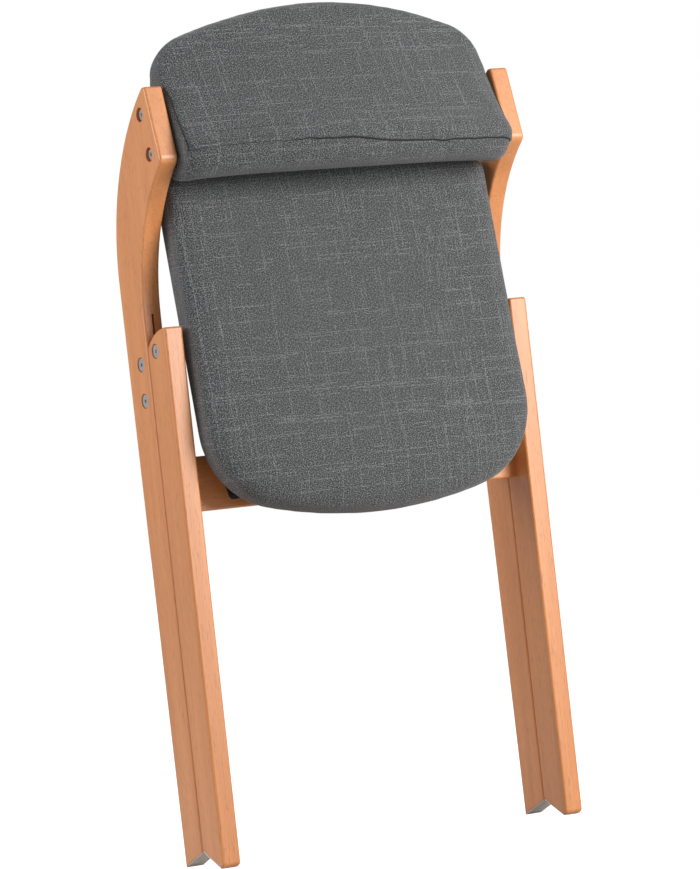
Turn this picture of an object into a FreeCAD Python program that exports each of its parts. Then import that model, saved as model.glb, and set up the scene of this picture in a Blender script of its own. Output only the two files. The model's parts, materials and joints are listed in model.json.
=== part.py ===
import FreeCAD, Part
import math
import os
import Sketcher

# Folding chair with an upholstered seat and backrest, modelled folded and standing on its four feet.
# Millimetres, +Z up, the sitter faces -Y, +X is the sitter's left-hand side seen from behind.
# Depths are measured backwards (+Y) from the foremost line of the uprights; every finished
# sub-part is then shifted forward by origin_depth, which puts the origin under the middle.
# Parts on the +X side are modelled, and the -X side ones are their mirror images.

DIM = {
    # stock and spacing of the four long members
    "inner_half": 213.0,
    "member_thick": 23.0,
    "edge_round": 3.0,
    "origin_depth": 92.5,
    # upright: front edge, rear edge, sweep into the leaning upper part
    "upright_foot_front": 8.5,
    "upright_front": 0.0,
    "upright_rear": 54.0,
    "front_sweep_start": 660.0,
    "rear_sweep_start": 620.0,
    "crest_depth": 138.0,
    "crest_height": 785.0,
    "crest_round": 9.0,
    "top_rear_depth": 116.0,
    "top_front_depth": 108.0,
    "upright_height": 870.0,
    # rear leg
    "leg_front": 55.0,
    "leg_rear": 102.0,
    "leg_shoulder_height": 584.0,
    "leg_top_height": 603.5,
    "leg_top_radius": 60.0,
    # feet: pads on the slanted ends, angles that lie flat when the chair stands open
    "front_cut_deg": 21.0,
    "rear_cut_deg": 24.0,
    "pad_inset": 0.8,
    "pad_tip_inset": 6.0,
    "pad_thick": 1.2,
    "leg_tip_round": 5.0,
    # leg pivot and its plate, let into a sawn slot in both members
    "pivot_depth": 74.0,
    "pivot_height": 579.0,
    "plate_bolt_depth": 34.5,
    "plate_bolt_upper": 567.0,
    "plate_bolt_lower": 526.0,
    "plate_thick": 2.0,
    "plate_front": 24.0,
    "plate_rear": 84.0,
    "plate_heel": 42.0,
    "plate_bottom": 515.0,
    "plate_step": 568.0,
    "plate_top_rear": 589.0,
    "plate_top_front": 579.0,
    "plate_round": 8.0,
    "upright_slot": 2.6,
    "leg_slot": 3.0,
    "slot_front": 20.0,
    "slot_bottom": 510.0,
    "upright_slot_top": 622.0,
    "leg_slot_rear": 86.0,
    "leg_slot_top": 615.0,
    # cross bolts with flat heads, and their cap nuts on the inner faces
    "flat_head_radius": 7.5,
    "flat_head_thick": 2.2,
    "flat_bore_radius": 8.5,
    "flat_bore_depth": 3.0,
    "bolt_radius": 3.0,
    "bolt_hole_radius": 3.2,
    "running_radius": 3.05,
    "nut_sleeve_radius": 4.3,
    "nut_sleeve_hole": 4.45,
    "nut_sleeve_length": 5.5,
    "nut_tip_wall": 0.6,
    "socket_radius": 2.3,
    "socket_depth": 1.6,
    # backrest bolts, sunk deep in the uprights, and their inserts
    "back_bolt_upper_depth": 99.0,
    "back_bolt_upper": 841.0,
    "back_bolt_lower_depth": 111.7,
    "back_bolt_lower": 795.0,
    "cap_head_radius": 6.0,
    "cap_head_thick": 4.5,
    "cap_bore_radius": 8.2,
    "cap_bore_depth": 7.0,
    "insert_radius": 4.0,
    "insert_hole_radius": 4.1,
    "insert_length": 10.0,
    "insert_spare": 1.0,
    # rails
    "front_rail_front": 31.0,
    "front_rail_thick": 20.0,
    "front_rail_bottom": 413.0,
    "front_rail_high": 40.0,
    "rear_rail_front": 55.0,
    "rear_rail_thick": 17.0,
    "rear_rail_bottom": 396.0,
    "rear_rail_high": 62.0,
    "rail_round": 2.5,
    "dowel_radius": 4.0,
    "dowel_hole_radius": 4.1,
    "dowel_length": 40.0,
    "dowel_in_member": 15.0,
    "dowel_spare": 0.8,
    "front_rail_dowel_spread": 9.5,
    "rear_rail_dowel_spread": 16.0,
    # seat: hinge axis, lean when folded, outline about the axis, layers above the axis
    "hinge_depth": 82.0,
    "hinge_height": 440.0,
    "seat_lean_deg": 8.5,
    "hinge_half": 156.0,
    "seat_front": 341.0,
    "seat_front_bow": 8.0,
    "seat_rear": 71.5,
    "seat_half": 207.0,
    "seat_rear_radius": 545.0,
    "seat_front_corner": 30.0,
    "seat_rear_corner": 72.0,
    "board_inset": 16.0,
    "cover_inset": 22.0,
    "cover_level": 14.5,
    "cover_thick": 0.8,
    "board_level": 15.3,
    "board_thick": 12.0,
    "seat_top_level": 60.5,
    "cushion_round": 9.0,
    # seat hinge: fork on the rail, fork on the seat, pin and screws
    "fork_half": 12.0,
    "fork_plate": 2.0,
    "fork_top": 450.0,
    "fork_taper_height": 428.0,
    "fork_tip_half": 6.0,
    "fork_bottom": 406.0,
    "fork_tip_round": 5.0,
    "fork_lower_screw": 412.0,
    "fork_upper_screw": 427.0,
    "ear_radius": 6.0,
    "ear_round": 5.5,
    "pin_radius": 2.5,
    "pin_hole_radius": 2.55,
    "pin_head_radius": 4.0,
    "pin_head_thick": 1.5,
    "seat_fork_half": 9.0,
    "seat_fork_front": -34.0,
    "seat_fork_rear": 30.0,
    "seat_screw_front": -27.0,
    "seat_screw_rear": 22.0,
    "screw_head_radius": 4.0,
    "screw_head_thick": 2.0,
    "screw_radius": 1.75,
    "screw_hole_radius": 1.8,
    "pilot_spare": 0.5,
    "rail_screw_length": 14.0,
    "seat_screw_length": 12.0,
    "cross_slot": 1.2,
    "cross_length": 4.4,
    "cross_depth": 1.0,
    # backrest: board section about the bolt line, cushion section, outlines seen from behind
    "back_bend_radius": 770.0,
    "back_board_thick": 15.0,
    "back_board_bottom": 776.0,
    "back_board_shoulder": 860.0,
    "back_board_arch_foot": 905.0,
    "back_board_arch_half": 170.0,
    "back_board_arch_radius": 520.0,
    "back_half": 209.0,
    "back_bottom": 762.0,
    "back_arch_foot": 906.0,
    "back_arch_radius": 479.0,
    "back_corner": 35.0,
    "back_front_skin": 16.0,
    "back_front_low": 774.0,
    "roll_front": 139.0,
    "roll_radius": 33.0,
    "hem_depth": 185.0,
    "back_waist_depth": 144.0,
    "back_waist_height": 868.0,
    "back_nape_depth": 132.0,
    "back_nape_height": 892.0,
    "back_top_rear_depth": 113.0,
    "back_top": 960.0,
}


X_AXIS = FreeCAD.Vector(1, 0, 0)
Y_AXIS = FreeCAD.Vector(0, 1, 0)
Z_AXIS = FreeCAD.Vector(0, 0, 1)
PARALLEL = 0.999
NEAR = 1.0
HEXAGON_SIDES = 6
BEND_SWEEP_DEG = 44
BACKWARDS_TURN_DEG = -90
DOWNWARDS_TURN_DEG = 180
PLATE_BOLTS = [("plate_bolt_depth", "plate_bolt_upper"), ("plate_bolt_depth", "plate_bolt_lower")]
PIVOT_BOLT = [("pivot_depth", "pivot_height")]
BACK_BOLTS = [("back_bolt_upper_depth", "back_bolt_upper"), ("back_bolt_lower_depth", "back_bolt_lower")]
RAIL_SCREW_HEIGHTS = ("fork_lower_screw", "fork_upper_screw")
SEAT_SCREW_ROWS = ("seat_screw_front", "seat_screw_rear")
HINGE_SIDES = {"left": "dim.hinge_half", "right": "-dim.hinge_half"}


def add_derived_sizes():
    """Sizes that follow from the driving ones."""
    front_slope = math.tan(math.radians(DIM["front_cut_deg"]))
    rear_slope = math.tan(math.radians(DIM["rear_cut_deg"]))
    front_rise = DIM["pad_thick"] / math.cos(math.radians(DIM["front_cut_deg"]))
    rear_rise = DIM["pad_thick"] / math.cos(math.radians(DIM["rear_cut_deg"]))
    inset = DIM["pad_inset"]
    upright_foot_depth = DIM["upright_rear"] - DIM["upright_foot_front"]
    leg_depth = DIM["leg_rear"] - DIM["leg_front"]
    DIM["outer_half"] = DIM["inner_half"] + DIM["member_thick"]
    DIM["member_middle"] = DIM["inner_half"] + DIM["member_thick"] / 2
    DIM["upright_cut_front"] = front_rise - inset * front_slope
    DIM["upright_cut_rear"] = DIM["upright_cut_front"] + upright_foot_depth * front_slope
    DIM["leg_cut_rear"] = rear_rise - DIM["pad_tip_inset"] * rear_slope
    DIM["leg_cut_front"] = DIM["leg_cut_rear"] + leg_depth * rear_slope
    DIM["front_pad_front"] = DIM["upright_foot_front"] + inset
    DIM["front_pad_rear"] = DIM["upright_rear"] - inset
    front_pad_depth = DIM["front_pad_rear"] - DIM["front_pad_front"]
    DIM["front_pad_heel"] = front_pad_depth * front_slope
    DIM["front_pad_tip_top"] = front_rise
    DIM["front_pad_heel_top"] = DIM["front_pad_heel"] + front_rise
    DIM["rear_pad_front"] = DIM["leg_front"] + inset
    DIM["rear_pad_rear"] = DIM["leg_rear"] - DIM["pad_tip_inset"]
    rear_pad_depth = DIM["rear_pad_rear"] - DIM["rear_pad_front"]
    DIM["rear_pad_heel"] = rear_pad_depth * rear_slope
    DIM["rear_pad_tip_top"] = rear_rise
    DIM["rear_pad_heel_top"] = DIM["rear_pad_heel"] + rear_rise
    DIM["datum"] = 0.0
    DIM["pad_wide"] = DIM["member_thick"] - 2 * inset
    DIM["front_sweep_radius"] = tangent_radius(
        (DIM["upright_foot_front"], DIM["upright_cut_front"]),
        (DIM["upright_front"], DIM["front_sweep_start"]),
        (DIM["top_front_depth"], DIM["upright_height"]),
    )
    DIM["rear_sweep_radius"] = tangent_radius(
        (DIM["upright_rear"], DIM["upright_cut_rear"]),
        (DIM["upright_rear"], DIM["rear_sweep_start"]),
        (DIM["crest_depth"], DIM["crest_height"]),
    )
    add_rail_sizes()
    add_seat_sizes()
    add_hinge_sizes()
    add_back_sizes()


def add_rail_sizes():
    """Far faces of both rails and the places of their dowels and screws."""
    for rail in ("front_rail", "rear_rail"):
        middle = DIM[f"{rail}_bottom"] + DIM[f"{rail}_high"] / 2
        DIM[f"{rail}_rear"] = DIM[f"{rail}_front"] + DIM[f"{rail}_thick"]
        DIM[f"{rail}_top"] = DIM[f"{rail}_bottom"] + DIM[f"{rail}_high"]
        DIM[f"{rail}_dowel_depth"] = DIM[f"{rail}_front"] + DIM[f"{rail}_thick"] / 2
        DIM[f"{rail}_dowel_lower"] = middle - DIM[f"{rail}_dowel_spread"]
        DIM[f"{rail}_dowel_upper"] = middle + DIM[f"{rail}_dowel_spread"]
    DIM["rail_screw_far"] = DIM["inner_half"] + DIM["hinge_half"]
    DIM["rail_screw_near"] = DIM["inner_half"] - DIM["hinge_half"]


def add_seat_sizes():
    """Outlines of the three seat layers, each drawn inside the one before."""
    insets = {"cushion": 0, "board": DIM["board_inset"], "cover": DIM["cover_inset"]}
    for layer, inset in insets.items():
        half = DIM["seat_half"] - inset
        radius = DIM["seat_rear_radius"] - inset
        bow = radius - math.sqrt(radius ** 2 - half ** 2)
        DIM[f"{layer}_half"] = half
        DIM[f"{layer}_half_left"] = -half
        DIM[f"{layer}_front_radius"] = (half ** 2 / DIM["seat_front_bow"] + DIM["seat_front_bow"]) / 2
        DIM[f"{layer}_front"] = inset + DIM["seat_front_bow"] - DIM["seat_front"]
        DIM[f"{layer}_rear_radius"] = radius
        DIM[f"{layer}_shoulder"] = DIM["seat_rear"] - inset - bow
        DIM[f"{layer}_front_corner"] = DIM["seat_front_corner"] - inset
        DIM[f"{layer}_rear_corner"] = DIM["seat_rear_corner"] - inset
    DIM["cushion_height"] = DIM["seat_top_level"] - DIM["board_level"]


def add_hinge_sizes():
    """Outlines of the two forks of a seat hinge."""
    radius = DIM["ear_radius"]
    DIM["fork_half_left"] = -DIM["fork_half"]
    DIM["fork_tip_left"] = -DIM["fork_tip_half"]
    DIM["ear_rear_depth"] = DIM["hinge_depth"] + radius
    DIM["ear_lower_height"] = DIM["hinge_height"] - radius
    DIM["ear_upper_height"] = DIM["hinge_height"] + radius
    DIM["ear_front"] = -radius
    DIM["seat_fork_left"] = -DIM["seat_fork_half"]
    DIM["seat_fork_level"] = DIM["cover_level"] - DIM["fork_plate"]
    DIM["screw_right"] = -DIM["hinge_half"]


def add_back_sizes():
    """Backrest sections as distances from the upright axis about which the back is bent."""
    radius = DIM["back_bend_radius"]
    bow = radius - math.sqrt(radius ** 2 - DIM["inner_half"] ** 2)
    axis = DIM["back_bolt_upper_depth"] + bow - radius
    rise = DIM["back_bolt_upper"] - DIM["back_bolt_lower"]
    lean = (DIM["back_bolt_lower_depth"] - DIM["back_bolt_upper_depth"]) / rise
    half_thick = DIM["back_board_thick"] / 2 * math.hypot(1, lean)
    DIM["bend_axis_depth"] = axis

    def middle_at(height):
        return radius - lean * (height - DIM["back_bolt_upper"])

    for end, height in (("bottom", DIM["back_board_bottom"]), ("top", DIM["back_top"])):
        DIM[f"back_board_{end}_front"] = middle_at(height) - half_thick
        DIM[f"back_board_{end}_rear"] = middle_at(height) + half_thick
    DIM["skin_low"] = middle_at(DIM["back_front_low"]) - DIM["back_front_skin"]
    DIM["skin_top"] = middle_at(DIM["back_top"]) - DIM["back_front_skin"]
    DIM["roll_front_reach"] = DIM["roll_front"] - axis
    DIM["roll_start_reach"] = DIM["hem_depth"] - DIM["roll_radius"] - axis
    DIM["hem_reach"] = DIM["hem_depth"] - axis
    DIM["hem_height"] = DIM["back_bottom"] + DIM["roll_radius"]
    DIM["waist_reach"] = DIM["back_waist_depth"] - axis
    DIM["nape_reach"] = DIM["back_nape_depth"] - axis
    DIM["top_rear_reach"] = DIM["back_top_rear_depth"] - axis
    for name in ("inner_half", "back_half", "back_board_arch_half"):
        DIM[f"{name}_left"] = -DIM[name]


def tangent_radius(before, start, end):
    """Radius of the arc from start to end that carries on from the straight before-start."""
    along = FreeCAD.Vector(start[0] - before[0], start[1] - before[1], 0).normalize()
    across = FreeCAD.Vector(along.y, -along.x, 0)
    chord = FreeCAD.Vector(end[0] - start[0], end[1] - start[1], 0)
    return chord.Length ** 2 / (2 * abs(chord.dot(across)))


def make_sheet():
    """Spreadsheet that holds every size under its own alias."""
    sheet = doc.addObject("Spreadsheet::Sheet", "dim")
    for row, (alias, value) in enumerate(DIM.items(), start=1):
        sheet.set(f"A{row}", alias)
        sheet.set(f"B{row}", str(value))
        sheet.setAlias(f"B{row}", alias)
    return sheet


def bind(feature, prop, alias):
    """Tie one property of a feature to the cell with that alias."""
    feature.setExpression(prop, f"dim.{alias}")


# ---------------------------------------------------------------- sketches and features

def arc_between(start, end, radius, side):
    """Arc from start to end; its centre is on the left of the way there if side is 1."""
    chord = end - start
    reach = math.sqrt(radius ** 2 - (chord.Length / 2) ** 2)
    left = FreeCAD.Vector(-chord.y, chord.x, 0).normalize()
    centre = (start + end) * 0.5 + left * reach * side
    first, last = (start, end) if side == 1 else (end, start)
    first_angle = math.atan2(first.y - centre.y, first.x - centre.x)
    last_angle = math.atan2(last.y - centre.y, last.x - centre.x)
    circle = Part.Circle(centre, FreeCAD.Vector(0, 0, 1), radius)
    return Part.ArcOfCircle(circle, first_angle, last_angle)


def draw_outline(sketch, corners, arcs=None):
    """Closed outline; corners are alias pairs, arcs maps an edge number to (radius alias, side)."""
    arcs = arcs or {}
    origin, begin, finish = -1, 1, 2
    points = [FreeCAD.Vector(DIM[across], DIM[up], 0) for across, up in corners]
    following = points[1:] + points[:1]
    for edge, (start, end) in enumerate(zip(points, following)):
        if edge in arcs:
            radius, side = arcs[edge]
            sketch.addGeometry(arc_between(start, end, DIM[radius], side), False)
        else:
            sketch.addGeometry(Part.LineSegment(start, end), False)
    heads = [finish if arcs.get(edge, (None, 1))[1] == -1 else begin for edge in range(len(points))]
    for edge, head in enumerate(heads):
        before = edge - 1 if edge else len(points) - 1
        tail = begin if heads[before] == finish else finish
        sketch.addConstraint(Sketcher.Constraint("Coincident", before, tail, edge, head))
        across, up = corners[edge]
        for kind, alias in (("DistanceX", across), ("DistanceY", up)):
            rule = Sketcher.Constraint(kind, origin, begin, edge, head, DIM[alias])
            number = sketch.addConstraint(rule)
            bind(sketch, f"Constraints[{number}]", alias)
        if edge in arcs:
            radius = arcs[edge][0]
            number = sketch.addConstraint(Sketcher.Constraint("Radius", edge, DIM[radius]))
            bind(sketch, f"Constraints[{number}]", radius)


def draw_circles(sketch, centres, radius):
    """Circles of one radius; centres are alias pairs."""
    origin, begin, middle = -1, 1, 3
    for number, (across, up) in enumerate(centres):
        centre = FreeCAD.Vector(DIM[across], DIM[up], 0)
        circle = Part.Circle(centre, FreeCAD.Vector(0, 0, 1), DIM[radius])
        sketch.addGeometry(circle, False)
        rules = (("DistanceX", across), ("DistanceY", up))
        for kind, alias in rules:
            rule = Sketcher.Constraint(kind, origin, begin, number, middle, DIM[alias])
            index = sketch.addConstraint(rule)
            bind(sketch, f"Constraints[{index}]", alias)
        index = sketch.addConstraint(Sketcher.Constraint("Radius", number, DIM[radius]))
        bind(sketch, f"Constraints[{index}]", radius)


def new_body(name):
    return doc.addObject("PartDesign::Body", name)


def new_sketch(body, role, level=None):
    """Sketch on one of the body's own origin planes, raised along its normal to level."""
    planes = [plane for plane in body.Origin.OriginFeatures if plane.Role == role]
    sketch = body.newObject("Sketcher::SketchObject", f"{body.Name}_sketch")
    sketch.AttachmentSupport = [(planes[0], "")]
    sketch.MapMode = "FlatFace"
    if level:
        sketch.setExpression("AttachmentOffset.Base.z", level)
    return sketch


def add_pad(body, sketch, length):
    pad = body.newObject("PartDesign::Pad", f"{body.Name}_pad")
    pad.Profile = sketch
    pad.setExpression("Length", length)
    return pad


def add_pocket(body, sketch, length, reversed_way=False):
    """Cut that must take material away; it runs against the sketch's normal unless reversed."""
    doc.recompute()
    before = body.Shape.Volume
    pocket = body.newObject("PartDesign::Pocket", f"{body.Name}_pocket")
    pocket.Profile = sketch
    pocket.setExpression("Length", length)
    pocket.Reversed = reversed_way
    doc.recompute()
    if body.Shape.Volume >= before:
        raise RuntimeError(f"a pocket in {body.Name} removes nothing")
    return pocket


def add_fillet(body, wanted, radius):
    """Round the edges of the body so far for which wanted(edge) is true."""
    doc.recompute()
    base = body.Tip
    names = [f"Edge{n}" for n, edge in enumerate(base.Shape.Edges, start=1) if wanted(edge)]
    fillet = body.newObject("PartDesign::Fillet", f"{body.Name}_fillet")
    fillet.Base = (base, names)
    bind(fillet, "Radius", radius)
    return fillet


def runs_along(edge, axis):
    """True for a straight edge parallel to the axis, a unit vector."""
    if not isinstance(edge.Curve, Part.Line):
        return False
    return abs(edge.tangentAt(edge.FirstParameter).dot(axis)) > PARALLEL


def place(feature, depth="0", height="0", across="0"):
    """Put a finished sub-part in the object's frame; depth is taken from the front line."""
    feature.setExpression("Placement.Base.x", across)
    feature.setExpression("Placement.Base.y", f"{depth} - dim.origin_depth")
    feature.setExpression("Placement.Base.z", height)


def name_part(feature, label):
    """List a feature as a finished sub-part, under the name of its file."""
    feature.Label = label
    finished.append(feature)
    return feature


def mirror_part(source, label):
    """The same sub-part on the -X side."""
    mirrored = doc.addObject("Part::Mirroring", label)
    mirrored.Source = source
    mirrored.Normal = FreeCAD.Vector(1, 0, 0)
    return name_part(mirrored, label)


def x_cylinder(name, start, radius, length, depth, height):
    """Cylinder along +X from start; all arguments after the name are expressions."""
    cylinder = doc.addObject("Part::Cylinder", name)
    cylinder.Placement = FreeCAD.Placement(FreeCAD.Vector(), FreeCAD.Rotation(FreeCAD.Vector(0, 1, 0), 90))
    cylinder.setExpression("Radius", radius)
    cylinder.setExpression("Height", length)
    cylinder.setExpression("Placement.Base.x", start)
    cylinder.setExpression("Placement.Base.y", depth)
    cylinder.setExpression("Placement.Base.z", height)
    return cylinder


def join(kind, name, members):
    """Fusion or compound of several features."""
    joined = doc.addObject(kind, name)
    if kind == "Part::Compound":
        joined.Links = members
    else:
        joined.Shapes = members
    return joined


def cut(name, base, tool):
    result = doc.addObject("Part::Cut", name)
    result.Base = base
    result.Tool = tool
    return result


# ---------------------------------------------------------------- uprights and rear legs

def build_upright():
    """Boomerang-shaped side member: front leg below, backrest post above."""
    body = new_body("upright_body")
    sketch = new_sketch(body, "YZ_Plane")
    corners = [
        ("upright_foot_front", "upright_cut_front"),
        ("upright_rear", "upright_cut_rear"),
        ("upright_rear", "rear_sweep_start"),
        ("crest_depth", "crest_height"),
        ("top_rear_depth", "upright_height"),
        ("top_front_depth", "upright_height"),
        ("upright_front", "front_sweep_start"),
    ]
    arcs = {2: ("rear_sweep_radius", -1), 5: ("front_sweep_radius", 1)}
    draw_outline(sketch, corners, arcs)
    add_pad(body, sketch, "dim.member_thick")

    def at_crest(edge):
        return runs_along(edge, X_AXIS) and abs(edge.CenterOfMass.z - DIM["crest_height"]) < NEAR

    def rounded(edge):
        """Edges of both side faces above the foot, and the two across the top."""
        height = edge.CenterOfMass.z
        if runs_along(edge, X_AXIS):
            return height > DIM["upright_height"] - NEAR
        return height > DIM["upright_cut_rear"]

    add_fillet(body, at_crest, "crest_round")
    add_fillet(body, rounded, "edge_round")
    bore_for_flat_bolts(body, PLATE_BOLTS)
    bore(body, BACK_BOLTS, "bolt_hole_radius", "dim.member_thick", "dim.member_thick")
    bore(body, BACK_BOLTS, "cap_bore_radius", "dim.member_thick", "dim.cap_bore_depth")
    bore_for_dowels(body, "front_rail")
    slot_corners = [
        ("slot_front", "slot_bottom"),
        ("crest_depth", "slot_bottom"),
        ("crest_depth", "upright_slot_top"),
        ("slot_front", "upright_slot_top"),
    ]
    saw_slot(body, slot_corners, "upright_slot")
    place(body, across="dim.inner_half")
    return body


def build_rear_leg():
    """Straight rear leg with a rounded shoulder that clears the upright as it swings."""
    body = new_body("rear_leg_body")
    sketch = new_sketch(body, "YZ_Plane")
    corners = [
        ("leg_front", "leg_cut_front"),
        ("leg_rear", "leg_cut_rear"),
        ("leg_rear", "leg_top_height"),
        ("leg_front", "leg_shoulder_height"),
    ]
    draw_outline(sketch, corners, {2: ("leg_top_radius", 1)})
    add_pad(body, sketch, "dim.member_thick")

    def at_tip(edge):
        """Lower rear edge across the leg, the toe of the slanted end."""
        return runs_along(edge, X_AXIS) and edge.CenterOfMass.z < DIM["leg_cut_rear"] + NEAR

    add_fillet(body, at_tip, "leg_tip_round")
    add_fillet(body, lambda edge: edge.CenterOfMass.z > DIM["leg_cut_front"], "edge_round")
    bore_for_flat_bolts(body, PIVOT_BOLT)
    bore_for_dowels(body, "rear_rail")
    slot_corners = [
        ("slot_front", "slot_bottom"),
        ("leg_slot_rear", "slot_bottom"),
        ("leg_slot_rear", "leg_slot_top"),
        ("slot_front", "leg_slot_top"),
    ]
    saw_slot(body, slot_corners, "leg_slot")
    place(body, across="dim.inner_half")
    return body


def bore(body, centres, radius, level, depth, from_inside=False):
    """Round holes across a member, from its outer face or, reversed, from its inner one."""
    sketch = new_sketch(body, "YZ_Plane", level)
    draw_circles(sketch, centres, radius)
    add_pocket(body, sketch, depth, from_inside)


def bore_for_dowels(body, rail):
    """Blind holes in a member's inner face for the dowels of a rail."""
    depth = "dim.dowel_in_member + dim.dowel_spare"
    bore(body, dowel_places(rail), "dowel_hole_radius", None, depth, True)


def bore_for_flat_bolts(body, places):
    """Through holes, a counterbore on either face and a wider hole for the sleeve of the cap nut."""
    bore(body, places, "bolt_hole_radius", "dim.member_thick", "dim.member_thick")
    bore(body, places, "flat_bore_radius", "dim.member_thick", "dim.flat_bore_depth")
    bore(body, places, "flat_bore_radius", None, "dim.flat_bore_depth", True)
    bore(body, places, "nut_sleeve_hole", None, "dim.flat_bore_depth + dim.nut_sleeve_length", True)


def saw_slot(body, corners, width):
    """Slot sawn in the middle of a member's thickness."""
    sketch = new_sketch(body, "YZ_Plane", f"(dim.member_thick + dim.{width}) / 2")
    draw_outline(sketch, corners)
    add_pocket(body, sketch, f"dim.{width}")


def build_foot_pad(name, corners):
    """Pad glued on the slanted end of a member."""
    body = new_body(name)
    sketch = new_sketch(body, "YZ_Plane")
    draw_outline(sketch, corners)
    add_pad(body, sketch, "dim.pad_wide")
    place(body, across="dim.inner_half + dim.pad_inset")
    return body


def build_hinge_plate():
    """Steel plate bolted in the upright's slot; the rear leg turns on its rear end."""
    body = new_body("hinge_plate_body")
    sketch = new_sketch(body, "YZ_Plane")
    corners = [
        ("plate_front", "plate_bottom"),
        ("plate_heel", "plate_bottom"),
        ("plate_rear", "plate_step"),
        ("plate_rear", "plate_top_rear"),
        ("plate_front", "plate_top_front"),
    ]
    draw_outline(sketch, corners)
    add_pad(body, sketch, "dim.plate_thick")
    add_fillet(body, lambda edge: runs_along(edge, X_AXIS), "plate_round")
    bore(body, PLATE_BOLTS, "bolt_hole_radius", "dim.plate_thick", "dim.plate_thick")
    bore(body, PIVOT_BOLT, "running_radius", "dim.plate_thick", "dim.plate_thick")
    place(body, across="dim.member_middle - dim.plate_thick / 2")
    return body


# ---------------------------------------------------------------- bolts, nuts and dowels

def build_bolt(name, head, thick, sunk, length, depth, height):
    """Bolt across a member: round head sunk in the outer face, hexagon socket, plain shank."""
    seat = f"dim.outer_half - {sunk}"
    head_part = x_cylinder(f"{name}_head", seat, head, thick, depth, height)
    shank = x_cylinder(f"{name}_shank", f"{seat} - ({length})", "dim.bolt_radius", length, depth, height)
    whole = join("Part::MultiFuse", f"{name}_whole", [head_part, shank])
    socket = doc.addObject("Part::Prism", f"{name}_socket")
    socket.Polygon = HEXAGON_SIDES
    socket.Placement = FreeCAD.Placement(FreeCAD.Vector(), FreeCAD.Rotation(FreeCAD.Vector(0, 1, 0), 90))
    bind(socket, "Circumradius", "socket_radius")
    bind(socket, "Height", "socket_depth")
    socket.setExpression("Placement.Base.x", f"{seat} + {thick} - dim.socket_depth")
    socket.setExpression("Placement.Base.y", depth)
    socket.setExpression("Placement.Base.z", height)
    return cut(name, whole, socket)


def build_cap_nut(name, depth, height):
    """Cap nut on the inner face: flat flange and a sleeve that takes the bolt's end."""
    root = "dim.inner_half + dim.flat_bore_depth"
    flange_size = ("dim.flat_head_radius", "dim.flat_head_thick")
    sleeve_size = ("dim.nut_sleeve_radius", "dim.nut_sleeve_length")
    flange = x_cylinder(f"{name}_flange", f"{root} - dim.flat_head_thick", *flange_size, depth, height)
    sleeve = x_cylinder(f"{name}_sleeve", root, *sleeve_size, depth, height)
    whole = join("Part::MultiFuse", f"{name}_whole", [flange, sleeve])
    bore_length = "dim.nut_sleeve_length + dim.nut_tip_wall"
    hole_start = f"{root} - dim.nut_tip_wall"
    hole = x_cylinder(f"{name}_hole", hole_start, "dim.running_radius", bore_length, depth, height)
    return cut(name, whole, hole)


def build_flat_bolts(label, places):
    """Flat-headed bolts through a member at the given places, ending inside their cap nuts."""
    length = "dim.member_thick - 2 * dim.flat_bore_depth"
    bolts = []
    nuts = []
    for number, (depth, height) in enumerate(places):
        bolt_name = f"{label}_bolt_{number}"
        args = (f"dim.{depth}", f"dim.{height}")
        head = ("dim.flat_head_radius", "dim.flat_head_thick", "dim.flat_bore_depth")
        bolts.append(build_bolt(bolt_name, *head, length, *args))
        nuts.append(build_cap_nut(f"{label}_nut_{number}", *args))
    bolt_group = join("Part::Compound", f"{label}_bolt_group", bolts)
    nut_group = join("Part::Compound", f"{label}_nut_group", nuts)
    place(bolt_group)
    place(nut_group)
    return bolt_group, nut_group


def build_back_bolts():
    """Cap-headed bolts that hold one end of the backrest board, and their threaded inserts."""
    length = "dim.member_thick - dim.cap_bore_depth + dim.insert_length - dim.insert_spare"
    start = "dim.inner_half - dim.insert_length"
    bolts = []
    inserts = []
    for number, (depth, height) in enumerate(BACK_BOLTS):
        args = (f"dim.{depth}", f"dim.{height}")
        head = ("dim.cap_head_radius", "dim.cap_head_thick", "dim.cap_bore_depth")
        bolts.append(build_bolt(f"back_bolt_{number}", *head, length, *args))
        place_and_length = ("dim.insert_length", *args)
        sleeve = x_cylinder(f"insert_{number}_sleeve", start, "dim.insert_radius", *place_and_length)
        hole = x_cylinder(f"insert_{number}_hole", start, "dim.running_radius", *place_and_length)
        inserts.append(cut(f"insert_{number}", sleeve, hole))
    bolt_group = join("Part::Compound", "back_bolt_group", bolts)
    insert_group = join("Part::Compound", "back_insert_group", inserts)
    place(bolt_group)
    place(insert_group)
    return bolt_group, insert_group


def dowel_places(rail):
    """Depth and height of the two dowels at each end of a rail."""
    return [(f"{rail}_dowel_depth", f"{rail}_dowel_lower"), (f"{rail}_dowel_depth", f"{rail}_dowel_upper")]


def build_rail(rail):
    """Cross rail between two members, bored at both ends for its dowels."""
    body = new_body(f"{rail}_body")
    front, rear, bottom, top = [f"{rail}_{side}" for side in ("front", "rear", "bottom", "top")]
    sketch = new_sketch(body, "YZ_Plane")
    draw_outline(sketch, [(front, bottom), (rear, bottom), (rear, top), (front, top)])
    add_pad(body, sketch, "2 * dim.inner_half")
    add_fillet(body, lambda edge: runs_along(edge, X_AXIS), "rail_round")
    depth = "dim.dowel_length - dim.dowel_in_member + dim.dowel_spare"
    bore(body, dowel_places(rail), "dowel_hole_radius", None, depth, True)
    bore(body, dowel_places(rail), "dowel_hole_radius", "2 * dim.inner_half", depth)
    place(body, across="-dim.inner_half")
    return body


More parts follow.
